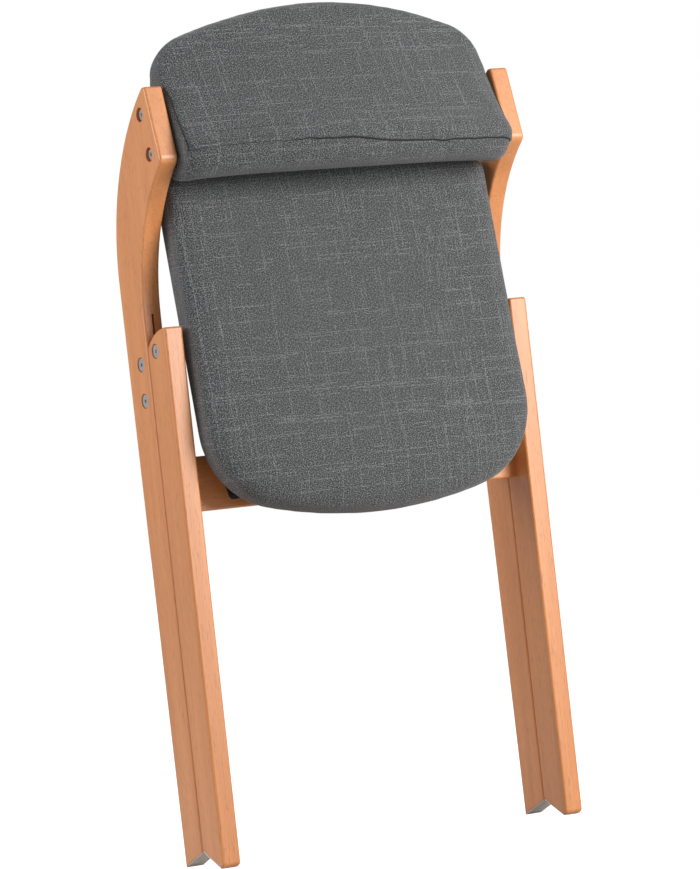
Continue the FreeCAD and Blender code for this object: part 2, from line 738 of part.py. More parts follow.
def build_rear_rail():
    """Rail between the rear legs, with pilot holes for the screws of the seat hinges."""
    body = build_rail("rear_rail")
    sketch = new_sketch(body, "XZ_Plane", "-dim.rear_rail_rear")
    sides = ("rail_screw_far", "rail_screw_near")
    centres = [(side, height) for side in sides for height in RAIL_SCREW_HEIGHTS]
    draw_circles(sketch, centres, "screw_hole_radius")
    add_pocket(body, sketch, "dim.rail_screw_length - dim.fork_plate + dim.pilot_spare", True)
    return body


def build_dowels(rail):
    """Four beech dowels, two at each end of a rail."""
    dowels = []
    size = ("dim.dowel_radius", "dim.dowel_length")
    starts = (
        "dim.inner_half + dim.dowel_in_member - dim.dowel_length",
        "-dim.inner_half - dim.dowel_in_member",
    )
    for number, start in enumerate(starts):
        for level, (depth, height) in enumerate(dowel_places(rail)):
            name = f"{rail}_dowel_{number}_{level}"
            dowels.append(x_cylinder(name, start, *size, f"dim.{depth}", f"dim.{height}"))
    group = join("Part::Compound", f"{rail}_dowel_group", dowels)
    place(group)
    return group


# ---------------------------------------------------------------- seat

def set_in_seat(feature, across="0"):
    """Turn a part drawn flat about the hinge axis, front towards -Y, into the folded seat."""
    turn = FreeCAD.Rotation(X_AXIS, DIM["seat_lean_deg"] - 90)
    feature.Placement = FreeCAD.Placement(FreeCAD.Vector(), turn)
    place(feature, depth="dim.hinge_depth", height="dim.hinge_height", across=across)


def build_seat_layer(name, layer, level, thick):
    """Flat layer with the seat's outline: bowed front and rear, straight sides, rounded corners."""
    body = new_body(name)
    sketch = new_sketch(body, "XY_Plane", level)
    corners = [
        (f"{layer}_half_left", f"{layer}_front"),
        (f"{layer}_half", f"{layer}_front"),
        (f"{layer}_half", f"{layer}_shoulder"),
        (f"{layer}_half_left", f"{layer}_shoulder"),
    ]
    draw_outline(sketch, corners, {0: (f"{layer}_front_radius", 1), 2: (f"{layer}_rear_radius", 1)})
    add_pad(body, sketch, thick)

    def at_front(edge):
        return runs_along(edge, Z_AXIS) and edge.CenterOfMass.y < 0

    def at_rear(edge):
        return runs_along(edge, Z_AXIS) and edge.CenterOfMass.y > 0

    add_fillet(body, at_front, f"{layer}_front_corner")
    add_fillet(body, at_rear, f"{layer}_rear_corner")
    return body


def drill_for_seat_screws(body, level, depth):
    """Holes upwards from level for the screws of both seat hinges."""
    sketch = new_sketch(body, "XY_Plane", level)
    centres = [(side, row) for side in ("hinge_half", "screw_right") for row in SEAT_SCREW_ROWS]
    draw_circles(sketch, centres, "screw_hole_radius")
    add_pocket(body, sketch, depth, True)


def build_seat_board():
    """Plywood base of the seat, with pilot holes for the hinge screws."""
    body = build_seat_layer("seat_board_body", "board", "dim.board_level", "dim.board_thick")
    depth = "dim.seat_screw_length - dim.fork_plate - dim.cover_thick + dim.pilot_spare"
    drill_for_seat_screws(body, "dim.board_level", depth)
    set_in_seat(body)
    return body


def build_dust_cover():
    """Thin black cloth stapled under the seat board."""
    body = build_seat_layer("dust_cover_body", "cover", "dim.cover_level", "dim.cover_thick")
    drill_for_seat_screws(body, "dim.cover_level", "dim.cover_thick")
    set_in_seat(body)
    return body


def build_seat_cushion():
    """Foam and cover in one closed shape that wraps the edge of the board."""
    outer = build_seat_layer("cushion_outer", "cushion", "dim.board_level", "dim.cushion_height")

    def on_upper_rim(edge):
        return abs(edge.CenterOfMass.z - DIM["seat_top_level"]) < NEAR

    add_fillet(outer, on_upper_rim, "cushion_round")
    hollow = build_seat_layer("cushion_hollow", "board", "dim.board_level", "dim.board_thick")
    cushion = cut("seat_cushion_cut", outer, hollow)
    set_in_seat(cushion)
    return cushion


# ---------------------------------------------------------------- seat hinges

def build_rail_fork():
    """Rail half of a seat hinge: tapered plate on the rail's rear face and two ears for the pin."""
    body = new_body("rail_fork_body")
    sketch = new_sketch(body, "XZ_Plane", "-dim.rear_rail_rear")
    corners = [
        ("fork_tip_left", "fork_bottom"),
        ("fork_tip_half", "fork_bottom"),
        ("fork_half", "fork_taper_height"),
        ("fork_half", "fork_top"),
        ("fork_half_left", "fork_top"),
        ("fork_half_left", "fork_taper_height"),
    ]
    draw_outline(sketch, corners)
    add_pad(body, sketch, "dim.fork_plate").Reversed = True

    def at_tip(edge):
        return runs_along(edge, Y_AXIS) and edge.CenterOfMass.z < DIM["fork_lower_screw"]

    def on_ear(edge):
        return runs_along(edge, X_AXIS) and edge.CenterOfMass.y > DIM["hinge_depth"]

    add_fillet(body, at_tip, "fork_tip_round")
    ear = [
        ("rear_rail_rear", "ear_lower_height"),
        ("ear_rear_depth", "ear_lower_height"),
        ("ear_rear_depth", "ear_upper_height"),
        ("rear_rail_rear", "ear_upper_height"),
    ]
    add_ears(body, ear, "fork_half")
    add_fillet(body, on_ear, "ear_round")
    screws = new_sketch(body, "XZ_Plane", "-dim.rear_rail_rear")
    draw_circles(screws, [("datum", height) for height in RAIL_SCREW_HEIGHTS], "screw_hole_radius")
    add_pocket(body, screws, "dim.fork_plate")
    add_pin_hole(body, ("hinge_depth", "hinge_height"), "fork_half")
    place(body, across="dim.hinge_half")
    return body


def add_ears(body, corners, outer_half):
    """Two ears across the hinge axis, their outer faces outer_half to either side."""
    for level in (f"dim.{outer_half} - dim.fork_plate", f"-dim.{outer_half}"):
        sketch = new_sketch(body, "YZ_Plane", level)
        draw_outline(sketch, corners)
        add_pad(body, sketch, "dim.fork_plate")


def add_pin_hole(body, centre, outer_half):
    """Pin hole through both ears."""
    sketch = new_sketch(body, "YZ_Plane", f"dim.{outer_half}")
    draw_circles(sketch, [centre], "pin_hole_radius")
    add_pocket(body, sketch, f"2 * dim.{outer_half}")


def build_seat_fork():
    """Seat half of a hinge: plate under the board and two ears that hang down to the pin."""
    body = new_body("seat_fork_body")
    sketch = new_sketch(body, "XY_Plane", "dim.seat_fork_level")
    corners = [
        ("seat_fork_left", "seat_fork_front"),
        ("seat_fork_half", "seat_fork_front"),
        ("seat_fork_half", "seat_fork_rear"),
        ("seat_fork_left", "seat_fork_rear"),
    ]
    draw_outline(sketch, corners)
    add_pad(body, sketch, "dim.fork_plate")
    ear = [
        ("ear_front", "ear_front"),
        ("ear_radius", "ear_front"),
        ("ear_radius", "cover_level"),
        ("ear_front", "cover_level"),
    ]
    add_ears(body, ear, "seat_fork_half")
    add_fillet(body, lambda edge: runs_along(edge, X_AXIS) and edge.CenterOfMass.z < 0, "ear_round")
    holes = new_sketch(body, "XY_Plane", "dim.cover_level")
    draw_circles(holes, [("datum", row) for row in SEAT_SCREW_ROWS], "screw_hole_radius")
    add_pocket(body, holes, "dim.fork_plate")
    add_pin_hole(body, ("datum", "datum"), "seat_fork_half")
    set_in_seat(body, across="dim.hinge_half")
    return body


def build_hinge_pin():
    """Riveted pin, fixed in the rail's fork; the seat's fork turns on it."""
    centre = ("dim.hinge_depth", "dim.hinge_height")
    head = ("dim.pin_head_radius", "dim.pin_head_thick")
    inner_face = "dim.hinge_half - dim.fork_half"
    shank = x_cylinder("pin_shank", inner_face, "dim.pin_radius", "2 * dim.fork_half", *centre)
    outer = x_cylinder("pin_outer_head", "dim.hinge_half + dim.fork_half", *head, *centre)
    inner = x_cylinder("pin_inner_head", f"{inner_face} - dim.pin_head_thick", *head, *centre)
    pin = join("Part::MultiFuse", "hinge_pin_whole", [shank, outer, inner])
    place(pin)
    return pin


def build_screw(name, length, turn, across, along, level):
    """Pan-head screw with a cross recess; drawn point down, then turned about X and moved."""
    head = doc.addObject("Part::Cylinder", f"{name}_head")
    bind(head, "Radius", "screw_head_radius")
    bind(head, "Height", "screw_head_thick")
    shank = doc.addObject("Part::Cylinder", f"{name}_shank")
    bind(shank, "Radius", "screw_radius")
    shank.setExpression("Height", length)
    shank.setExpression("Placement.Base.z", f"-{length}")
    slots = [build_slot(f"{name}_slot_{long_side}", long_side) for long_side in ("Length", "Width")]
    solid = join("Part::MultiFuse", f"{name}_solid", [head, shank])
    cross = join("Part::MultiFuse", f"{name}_cross", slots)
    screw = cut(name, solid, cross)
    screw.Placement = FreeCAD.Placement(FreeCAD.Vector(), FreeCAD.Rotation(X_AXIS, turn))
    screw.setExpression("Placement.Base.x", across)
    screw.setExpression("Placement.Base.y", along)
    screw.setExpression("Placement.Base.z", level)
    return screw


def build_slot(name, long_side):
    """One arm of the cross recess, sunk in the head's top, long along X (Length) or Y (Width)."""
    sides = {"Length": "cross_slot", "Width": "cross_slot"}
    sides[long_side] = "cross_length"
    slot = doc.addObject("Part::Box", name)
    bind(slot, "Length", sides["Length"])
    bind(slot, "Width", sides["Width"])
    bind(slot, "Height", "cross_depth")
    slot.setExpression("Placement.Base.x", f"-dim.{sides['Length']} / 2")
    slot.setExpression("Placement.Base.y", f"-dim.{sides['Width']} / 2")
    slot.setExpression("Placement.Base.z", "dim.screw_head_thick - dim.cross_depth")
    return slot


def build_rail_screws():
    """Screws that hold both rail forks, driven forwards into the rear rail."""
    screws = []
    face = "dim.rear_rail_rear + dim.fork_plate"
    for side, across in HINGE_SIDES.items():
        for height in RAIL_SCREW_HEIGHTS:
            name = f"rail_screw_{side}_{height}"
            args = (BACKWARDS_TURN_DEG, across, face, f"dim.{height}")
            screws.append(build_screw(name, "dim.rail_screw_length", *args))
    group = join("Part::Compound", "rail_screw_group", screws)
    place(group)
    return group


def build_seat_screws():
    """Screws that hold both seat forks, driven upwards into the board of the flat seat."""
    screws = []
    for side, across in HINGE_SIDES.items():
        for row in SEAT_SCREW_ROWS:
            name = f"seat_screw_{side}_{row}"
            args = (DOWNWARDS_TURN_DEG, across, f"dim.{row}", "dim.seat_fork_level")
            screws.append(build_screw(name, "dim.seat_screw_length", *args))
    group = join("Part::Compound", "seat_screw_group", screws)
    set_in_seat(group)
    return group


# ---------------------------------------------------------------- backrest

def build_bent_slab(name, corners, arcs=None):
    """Upright section turned about an axis in front of the chair: a slab bent round the sitter."""
    body = new_body(name)
    sketch = new_sketch(body, "YZ_Plane")
    draw_outline(sketch, corners, arcs)
    slab = body.newObject("PartDesign::Revolution", f"{name}_turn")
    slab.Profile = sketch
    slab.ReferenceAxis = (sketch, ["V_Axis"])
    slab.Angle = BEND_SWEEP_DEG
    slab.Midplane = True
    place(body, depth="dim.bend_axis_depth")
    return body


def build_back_outline(name, corners, arcs):
    """Outline seen from behind, as a block that reaches through the whole backrest."""
    body = new_body(name)
    sketch = new_sketch(body, "XZ_Plane")
    draw_outline(sketch, corners, arcs)
    add_pad(body, sketch, "dim.back_bend_radius / 2").Reversed = True
    place(body)
    return body


def trim(name, slab, block):
    common = doc.addObject("Part::MultiCommon", name)
    common.Shapes = [slab, block]
    return common


def build_back_board():
    """Bent plywood board whose ends meet the uprights on the bolt line."""
    section = [
        ("back_board_bottom_front", "back_board_bottom"),
        ("back_board_bottom_rear", "back_board_bottom"),
        ("back_board_top_rear", "back_top"),
        ("back_board_top_front", "back_top"),
    ]
    slab = build_bent_slab("board_slab", section)
    outline = [
        ("inner_half_left", "back_board_bottom"),
        ("inner_half", "back_board_bottom"),
        ("inner_half", "back_board_shoulder"),
        ("back_board_arch_half", "back_board_arch_foot"),
        ("back_board_arch_half_left", "back_board_arch_foot"),
        ("inner_half_left", "back_board_shoulder"),
    ]
    block = build_back_outline("board_block", outline, {3: ("back_board_arch_radius", 1)})
    return trim("back_board_whole", slab, block)


def bore_for_inserts(board):
    """Holes in both ends of the backrest board for the threaded inserts."""
    holes = []
    starts = ("dim.inner_half - dim.insert_length", "-dim.inner_half")
    for side, start in enumerate(starts):
        for level, (depth, height) in enumerate(BACK_BOLTS):
            args = (f"dim.{depth} - dim.origin_depth", f"dim.{height}")
            name = f"insert_hole_{side}_{level}"
            holes.append(x_cylinder(name, start, "dim.insert_hole_radius", "dim.insert_length", *args))
    return cut("back_board_bored", board, join("Part::Compound", "insert_holes", holes))


def build_back_cushion(board):
    """Foam and cover in one closed shape: thin above, a thick roll along the lower edge."""
    section = [
        ("skin_low", "back_front_low"),
        ("roll_front_reach", "back_bottom"),
        ("roll_start_reach", "back_bottom"),
        ("hem_reach", "hem_height"),
        ("waist_reach", "back_waist_height"),
        ("nape_reach", "back_nape_height"),
        ("top_rear_reach", "back_top"),
        ("skin_top", "back_top"),
    ]
    slab = build_bent_slab("cushion_slab", section, {2: ("roll_radius", 1)})
    outline = [
        ("back_half_left", "back_bottom"),
        ("back_half", "back_bottom"),
        ("back_half", "back_arch_foot"),
        ("back_half_left", "back_arch_foot"),
    ]
    block = build_back_outline("cushion_block", outline, {2: ("back_arch_radius", 1)})

    def on_shoulder(edge):
        return runs_along(edge, Y_AXIS) and edge.CenterOfMass.z > DIM["back_waist_height"]

    add_fillet(block, on_shoulder, "back_corner")
    return cut("back_cushion_hollowed", trim("back_cushion_whole", slab, block), board)


# ---------------------------------------------------------------- assembly

def name_pair(source, label):
    """Finish a sub-part on the +X side and its mirror image on the other."""
    name_part(source, f"{label}_left")
    mirror_part(source, f"{label}_right")


def build_frame_parts():
    """Uprights, rear legs, rails, plates, bolts, nuts, dowels and foot pads."""
    name_pair(build_upright(), "upright")
    name_pair(build_rear_leg(), "rear_leg")
    name_part(build_rail("front_rail"), "front_rail")
    name_part(build_dowels("front_rail"), "front_rail_dowels")
    name_part(build_rear_rail(), "rear_rail")
    name_part(build_dowels("rear_rail"), "rear_rail_dowels")
    name_pair(build_hinge_plate(), "hinge_plate")
    plate_bolts, plate_nuts = build_flat_bolts("plate", PLATE_BOLTS)
    name_pair(plate_bolts, "plate_bolts")
    name_pair(plate_nuts, "plate_nuts")
    pivot_bolt, pivot_nut = build_flat_bolts("pivot", PIVOT_BOLT)
    name_pair(pivot_bolt, "pivot_bolt")
    name_pair(pivot_nut, "pivot_nut")
    front_pad = [
        ("front_pad_front", "datum"),
        ("front_pad_rear", "front_pad_heel"),
        ("front_pad_rear", "front_pad_heel_top"),
        ("front_pad_front", "front_pad_tip_top"),
    ]
    rear_pad = [
        ("rear_pad_front", "rear_pad_heel"),
        ("rear_pad_rear", "datum"),
        ("rear_pad_rear", "rear_pad_tip_top"),
        ("rear_pad_front", "rear_pad_heel_top"),
    ]
    name_pair(build_foot_pad("front_pad_body", front_pad), "front_foot_pad")
    name_pair(build_foot_pad("rear_pad_body", rear_pad), "rear_foot_pad")


def build_seat_parts():
    """Seat layers, both seat hinges and their screws."""
    name_part(build_seat_board(), "seat_board")
    name_part(build_seat_cushion(), "seat_cushion")
    name_part(build_dust_cover(), "seat_dust_cover")
    name_pair(build_rail_fork(), "rail_hinge_leaf")
    name_pair(build_seat_fork(), "seat_hinge_leaf")
    name_pair(build_hinge_pin(), "hinge_pin")
    name_part(build_rail_screws(), "rail_leaf_screws")
    name_part(build_seat_screws(), "seat_leaf_screws")


def build_back_parts():
    """Backrest board, cushion, bolts and inserts."""
    board = build_back_board()
    name_part(bore_for_inserts(board), "backrest_board")
    name_part(build_back_cushion(board), "backrest_cushion")
    bolts, inserts = build_back_bolts()
    name_pair(bolts, "backrest_bolts")
    name_pair(inserts, "backrest_inserts")


def check_and_export():
    """Stop on any broken feature or shape, then write every sub-part."""
    for feature in doc.Objects:
        if "Invalid" in feature.State or "Error" in feature.State:
            raise RuntimeError(f"{feature.Name} did not compute: {feature.State}")
    for feature in finished:
        if feature.Shape.isNull() or not feature.Shape.isValid():
            raise RuntimeError(f"{feature.Label} has no valid shape")
        feature.Shape.exportStep(f"parts/{feature.Label}.step")


os.makedirs("parts", exist_ok=True)
doc = FreeCAD.newDocument("folding_chair")
finished = []
add_derived_sizes()
make_sheet()
build_frame_parts()
build_seat_parts()
build_back_parts()
doc.recompute()
check_and_export()
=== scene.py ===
import json
import math

import bmesh
import bpy
import numpy as np
from mathutils import Matrix, Vector
from mathutils.bvhtree import BVHTree


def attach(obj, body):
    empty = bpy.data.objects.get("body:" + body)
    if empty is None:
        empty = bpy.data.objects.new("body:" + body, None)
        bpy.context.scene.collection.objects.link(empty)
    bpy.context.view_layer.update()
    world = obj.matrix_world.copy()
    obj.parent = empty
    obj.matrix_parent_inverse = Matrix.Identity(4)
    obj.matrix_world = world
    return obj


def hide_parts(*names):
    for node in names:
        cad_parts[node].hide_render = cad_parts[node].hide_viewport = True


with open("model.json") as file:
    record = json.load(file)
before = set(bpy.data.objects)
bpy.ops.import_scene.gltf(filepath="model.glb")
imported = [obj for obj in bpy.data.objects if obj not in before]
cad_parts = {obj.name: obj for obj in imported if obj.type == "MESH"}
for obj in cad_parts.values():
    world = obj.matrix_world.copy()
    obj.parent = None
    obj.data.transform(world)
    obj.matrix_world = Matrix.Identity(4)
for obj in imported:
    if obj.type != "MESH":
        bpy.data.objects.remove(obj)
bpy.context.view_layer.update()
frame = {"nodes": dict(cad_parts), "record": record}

# Folding chair, folded and seen from behind. Metres, +Z up. The sitter faces -Y, with +X on
# their left.
scene = bpy.context.scene
nodes = frame["nodes"]
joints = {joint["name"]: joint for joint in frame["record"]["behaviour"]["joints"]}
rng = np.random.default_rng(7)


# ---------------------------------------- material helpers

class Shading:
    """Short hand for building one node material."""

    def __init__(self, name, roughness):
        self.material = bpy.data.materials.new(name)
        self.material.use_nodes = True
        self.tree = self.material.node_tree
        self.shader = self.tree.nodes["Principled BSDF"]
        self.coordinates = self.new("TexCoord").outputs
        self.set("Roughness", roughness)

    def new(self, kind):
        return self.tree.nodes.new(f"ShaderNode{kind}")

    def feed(self, socket, value):
        """Give a socket a constant or the output of another node."""
        if isinstance(value, bpy.types.NodeSocket):
            self.tree.links.new(value, socket)
        else:
            socket.default_value = value

    def set(self, name, value):
        """Give a socket of the surface shader a constant or the output of a node."""
        self.feed(self.shader.inputs[name], value)

    def math(self, operation, first, second=0.0, clamp=False):
        node = self.new("Math")
        node.operation = operation
        node.use_clamp = clamp
        self.feed(node.inputs[0], first)
        self.feed(node.inputs[1], second)
        return node.outputs[0]

    def plus(self, first, second, clamp=False):
        return self.math("ADD", first, second, clamp)

    def times(self, first, second, clamp=False):
        return self.math("MULTIPLY", first, second, clamp)

    def split(self, vector):
        node = self.new("SeparateXYZ")
        self.feed(node.inputs[0], vector)
        return node.outputs

    def join(self, x, y, z=0.0):
        node = self.new("CombineXYZ")
        for socket, value in zip(node.inputs, (x, y, z)):
            self.feed(socket, value)
        return node.outputs[0]

    def stretched(self, vector, scale):
        node = self.new("Mapping")
        self.feed(node.inputs["Vector"], vector)
        node.inputs["Scale"].default_value = scale
        return node.outputs[0]

    def noise(self, vector, scale=1.0, detail=2.0, roughness=0.5, flat=False):
        node = self.new("TexNoise")
        node.noise_dimensions = "2D" if flat else "3D"
        self.feed(node.inputs["Vector"], vector)
        node.inputs["Scale"].default_value = scale
        node.inputs["Detail"].default_value = detail
        node.inputs["Roughness"].default_value = roughness
        return node.outputs[0]

    def between(self, value, low, high):
        """0 up to low and 1 from high on, smooth in between; low may be the larger of the two."""
        node = self.new("MapRange")
        node.interpolation_type = "SMOOTHSTEP"
        self.feed(node.inputs["Value"], value)
        node.inputs["From Min"].default_value = low
        node.inputs["From Max"].default_value = high
        return node.outputs[0]

    def choose(self, switch, off, on):
        """The value off where switch is 0, and on where it is 1."""
        node = self.new("Mix")
        self.feed(node.inputs["Factor"], switch)
        self.feed(node.inputs["A"], off)
        self.feed(node.inputs["B"], on)
        return node.outputs["Result"]

    def blend(self, amount, first, second):
        """Colour that goes from first to second with amount."""
        node = self.new("Mix")
        node.data_type = "RGBA"
        self.feed(node.inputs["Factor"], amount)
        colours = [socket for socket in node.inputs if socket.type == "RGBA"]
        for socket, value in zip(colours, (first, second)):
            self.feed(socket, value if isinstance(value, bpy.types.NodeSocket) else (*value, 1))
        return [socket for socket in node.outputs if socket.type == "RGBA"][0]

    def bump(self, height, strength, distance):
        node = self.new("Bump")
        node.inputs["Strength"].default_value = strength
        node.inputs["Distance"].default_value = distance
        self.feed(node.inputs["Height"], height)
        self.set("Normal", node.outputs[0])


def coat_with(mesh, material):
    """Make this the mesh's only material."""
    mesh.materials.clear()
    mesh.materials.append(material)


def paint(names, material):
    for name in names:
        coat_with(nodes[name].data, material)


# ---------------------------------------- camera, floor and light

VIEW_AZIMUTH = math.radians(151.0)
VIEW_ELEVATION = math.radians(-0.95)
VIEW_ROLL = math.radians(-6.3)
VIEW_DISTANCE = 4.762
VIEW_TARGET = Vector((0, -0.0283, 0.4656))
VIEW_SIDE = 0.0038
LENS_MM = 172.6

AMBIENT, AMBIENT_COLOUR = 0.33, (0.93, 0.96, 1.0, 1)
FLOOR_HALF = 40.0
FLOOR_COLOUR = (0.5, 0.5, 0.5, 1)
MIRRORED_GLOW = 0.38
WHITE = (1, 1, 1, 1)
LIT_PLACE = Vector((0, 0, 0.5))
# each lamp: its way from the lit place towards the camera, to the camera's right and up,
# then its diameter, power and colour
LAMPS = {
    "key": (1.4, 2.2, 0.7, 1.5, 80.0, (1.0, 0.985, 0.96)),
    "fill": (0.7, -2.3, 0.9, 1.4, 38.0, (1.0, 1.0, 1.0)),
}


def look_along(azimuth, elevation):
    """Direction in which a camera at that azimuth and elevation looks."""
    level = math.cos(elevation)
    return -Vector((math.sin(azimuth) * level, -math.cos(azimuth) * level, math.sin(elevation)))


def make_camera():
    """The camera, rolled slightly. Returns its level right and its forward direction."""
    data = bpy.data.cameras.new("view")
    data.lens = LENS_MM
    data.clip_start = 0.1
    data.clip_end = 100
    camera = bpy.data.objects.new("view", data)
    scene.collection.objects.link(camera)
    forward = look_along(VIEW_AZIMUTH, VIEW_ELEVATION)
    right = forward.cross(Vector((0, 0, 1))).normalized()
    up = right.cross(forward)
    across = right * math.cos(VIEW_ROLL) + up * math.sin(VIEW_ROLL)
    upright = up * math.cos(VIEW_ROLL) - right * math.sin(VIEW_ROLL)
    turn = Matrix((across, upright, -forward)).transposed()
    place = VIEW_TARGET - forward * VIEW_DISTANCE + across * VIEW_SIDE
    camera.matrix_world = Matrix.Translation(place) @ turn.to_4x4()
    scene.camera = camera
    return right, forward


def add_lamp(name, place, diameter, power, colour):
    """Round soft lamp turned towards the lit place."""
    data = bpy.data.lights.new(name, "AREA")
    data.shape = "DISK"
    data.size = diameter
    data.energy = power
    data.color = colour
    lamp = bpy.data.objects.new(name, data)
    scene.collection.objects.link(lamp)
    lamp.location = place
    lamp.rotation_mode = "QUATERNION"
    lamp.rotation_quaternion = (LIT_PLACE - place).to_track_quat("-Z", "Y")


def make_world():
    """Even surroundings: white to the camera, weaker as light so that shapes keep their shade."""
    world = bpy.data.worlds.new("surroundings")
    scene.world = world
    world.use_nodes = True
    tree = world.node_tree
    tree.nodes.clear()
    output = tree.nodes.new("ShaderNodeOutputWorld")
    mix = tree.nodes.new("ShaderNodeMixShader")
    path = tree.nodes.new("ShaderNodeLightPath")
    lit = tree.nodes.new("ShaderNodeBackground")
    seen = tree.nodes.new("ShaderNodeBackground")
    lit.inputs["Color"].default_value = AMBIENT_COLOUR
    lit.inputs["Strength"].default_value = AMBIENT
    seen.inputs["Color"].default_value = WHITE
    tree.links.new(path.outputs["Is Camera Ray"], mix.inputs[0])
    tree.links.new(lit.outputs[0], mix.inputs[1])
    tree.links.new(seen.outputs[0], mix.inputs[2])
    tree.links.new(mix.outputs[0], output.inputs[0])


def make_floor():
    """Wide pale floor that glows white to the camera and more weakly in glossy surfaces."""
    mesh = bpy.data.meshes.new("floor")
    half = FLOOR_HALF
    corners = [(-half, -half, 0), (half, -half, 0), (half, half, 0), (-half, half, 0)]
    mesh.from_pydata(corners, [], [(0, 1, 2, 3)])
    floor = bpy.data.objects.new("floor", mesh)
    scene.collection.objects.link(floor)
    made = Shading("pale_floor", roughness=0.9)
    made.set("Base Color", FLOOR_COLOUR)
    made.set("Specular IOR Level", 0.1)
    made.set("Emission Color", WHITE)
    path = made.new("LightPath").outputs
    mirrored = made.times(path["Is Glossy Ray"], MIRRORED_GLOW)
    made.set("Emission Strength", made.plus(mirrored, path["Is Camera Ray"]))
    coat_with(mesh, made.material)


def make_stage():
    right, forward = make_camera()
    make_world()
    for name, (near, aside, up, diameter, power, colour) in LAMPS.items():
        place = LIT_PLACE - forward * near + right * aside + Vector((0, 0, up))
        add_lamp(name, place, diameter, power, colour)
    make_floor()
    scene.view_settings.view_transform = "Standard"


# ---------------------------------------- materials

# shares of the wood's tone: long bands, fibres and slow drift, and how strongly the flecks show
WOOD_BANDS, WOOD_FIBRES, WOOD_DRIFT, WOOD_FLECKS = 0.55, 0.3, 0.15, 0.42
BEECH = {"light": (0.72, 0.278, 0.084), "dark": (0.56, 0.192, 0.047), "fleck": (0.31, 0.090, 0.020)}
PLYWOOD = {"light": (0.62, 0.42, 0.22), "dark": (0.50, 0.32, 0.16), "fleck": (0.3, 0.17, 0.08)}
# pale slub threads: rows to the metre, the share of rows that have any, how often they come and go
# along a row, and how different one row's run of them is from the next
SLUB_ROWS, SLUB_SHARE, SLUB_LENGTHS, ROW_SHIFT = 1080, 0.17, 23, 7.31
# how much paler than its yarn a slub is, and how strongly slubs and pale specks show
SLUB_LIGHT, SLUB_COVER, SPECK_COVER = 1.15, 0.50, 0.85
# the gaps between threads, as a share of the cloth's darkest colour
GAP_SHADE = 0.35


def make_wood(name, grain, light, dark, fleck):
    """Beech: soft long bands, fine fibres and short flecks, all drawn out along the grain."""
    made = Shading(name, roughness=0.42)
    place = made.coordinates["Object"]

    def drawn_out(across, along):
        scale = [across] * 3
        scale["xyz".index(grain)] = along
        return made.stretched(place, scale)

    bands = made.noise(drawn_out(across=38, along=1.6), detail=3, roughness=0.55)
    fibres = made.noise(drawn_out(across=420, along=9), detail=3, roughness=0.6)
    flecks = made.noise(drawn_out(across=900, along=85), detail=1, roughness=0.4)
    drift = made.noise(place, scale=9, detail=2)
    tone = made.times(made.between(bands, low=0.35, high=0.68), WOOD_BANDS)
    tone = made.plus(tone, made.times(made.between(fibres, low=0.35, high=0.7), WOOD_FIBRES))
    tone = made.plus(tone, made.times(drift, WOOD_DRIFT), clamp=True)
    spots = made.times(made.between(flecks, low=0.60, high=0.70), WOOD_FLECKS)
    made.set("Base Color", made.blend(spots, made.blend(tone, light, dark), fleck))
    made.set("Coat Weight", 0.9)
    made.set("Coat Roughness", 0.42)
    made.set("Specular IOR Level", 0.4)
    made.bump(made.plus(fibres, made.times(flecks, -0.6)), strength=0.18, distance=0.0003)
    return made.material


def make_metal(name, colour, worn, roughness, metallic):
    """Metal with fine scratches and a slightly uneven polish."""
    made = Shading(name, roughness)
    place = made.coordinates["Object"]
    smudge = made.noise(place, scale=260, detail=4, roughness=0.6)
    scratch = made.noise(made.stretched(place, (2500, 400, 2500)), detail=2)
    made.set("Base Color", made.blend(made.between(smudge, low=0.3, high=0.75), colour, worn))
    made.set("Roughness", made.plus(made.times(smudge, 0.22), roughness - 0.1))
    made.set("Metallic", metallic)
    made.bump(scratch, strength=0.12, distance=0.0001)
    return made.material


def make_pad_plastic():
    """Soft off-white glide with a fine moulded grain."""
    made = Shading("glide_pad", roughness=0.7)
    place = made.coordinates["Object"]
    mottle = made.between(made.noise(place, scale=300, detail=3), low=0.3, high=0.7)
    grain = made.noise(place, scale=1500, detail=2)
    made.set("Base Color", made.blend(mottle, (0.76, 0.66, 0.60), (0.68, 0.60, 0.55)))
    made.bump(grain, strength=0.3, distance=0.0002)
    return made.material


def make_lining():
    """Black non-woven lining: matt, with a faint dimpled grid."""
    made = Shading("black_lining", roughness=0.95)
    place = made.coordinates["Object"]
    fibres = made.noise(made.stretched(place, (700, 1400, 700)), detail=3)
    dimples = made.new("TexVoronoi")
    dimples.inputs["Scale"].default_value = 420
    made.feed(dimples.inputs["Vector"], place)
    spread = made.between(fibres, low=0.3, high=0.8)
    made.set("Base Color", made.blend(spread, (0.012, 0.012, 0.013), (0.035, 0.035, 0.037)))
    made.bump(made.plus(fibres, dimples.outputs["Distance"]), strength=0.5, distance=0.0004)
    return made.material


def make_thread():
    """Nearly black sewing thread with a twist."""
    made = Shading("sewing_thread", roughness=0.8)
    twist = made.noise(made.coordinates["Object"], scale=2600, detail=1)
    spread = made.between(twist, low=0.35, high=0.65)
    made.set("Base Color", made.blend(spread, (0.012, 0.0125, 0.013), (0.035, 0.036, 0.038)))
    made.bump(twist, strength=0.5, distance=0.0002)
    return made.material


def slub_rows(made, across, along):
    """1 on scattered stretches of single thick threads that run with along, 0 elsewhere."""
    row = made.math("FLOOR", made.times(across, SLUB_ROWS))
    chance = made.new("TexWhiteNoise")
    chance.noise_dimensions = "1D"
    made.feed(chance.inputs["W"], row)
    chosen = made.math("GREATER_THAN", chance.outputs["Value"], 1 - SLUB_SHARE)
    lengths = made.join(made.times(along, SLUB_LENGTHS), made.times(row, ROW_SHIFT))
    stretch = made.between(made.noise(lengths, detail=0, flat=True), low=0.54, high=0.57)
    return made.times(chosen, stretch)


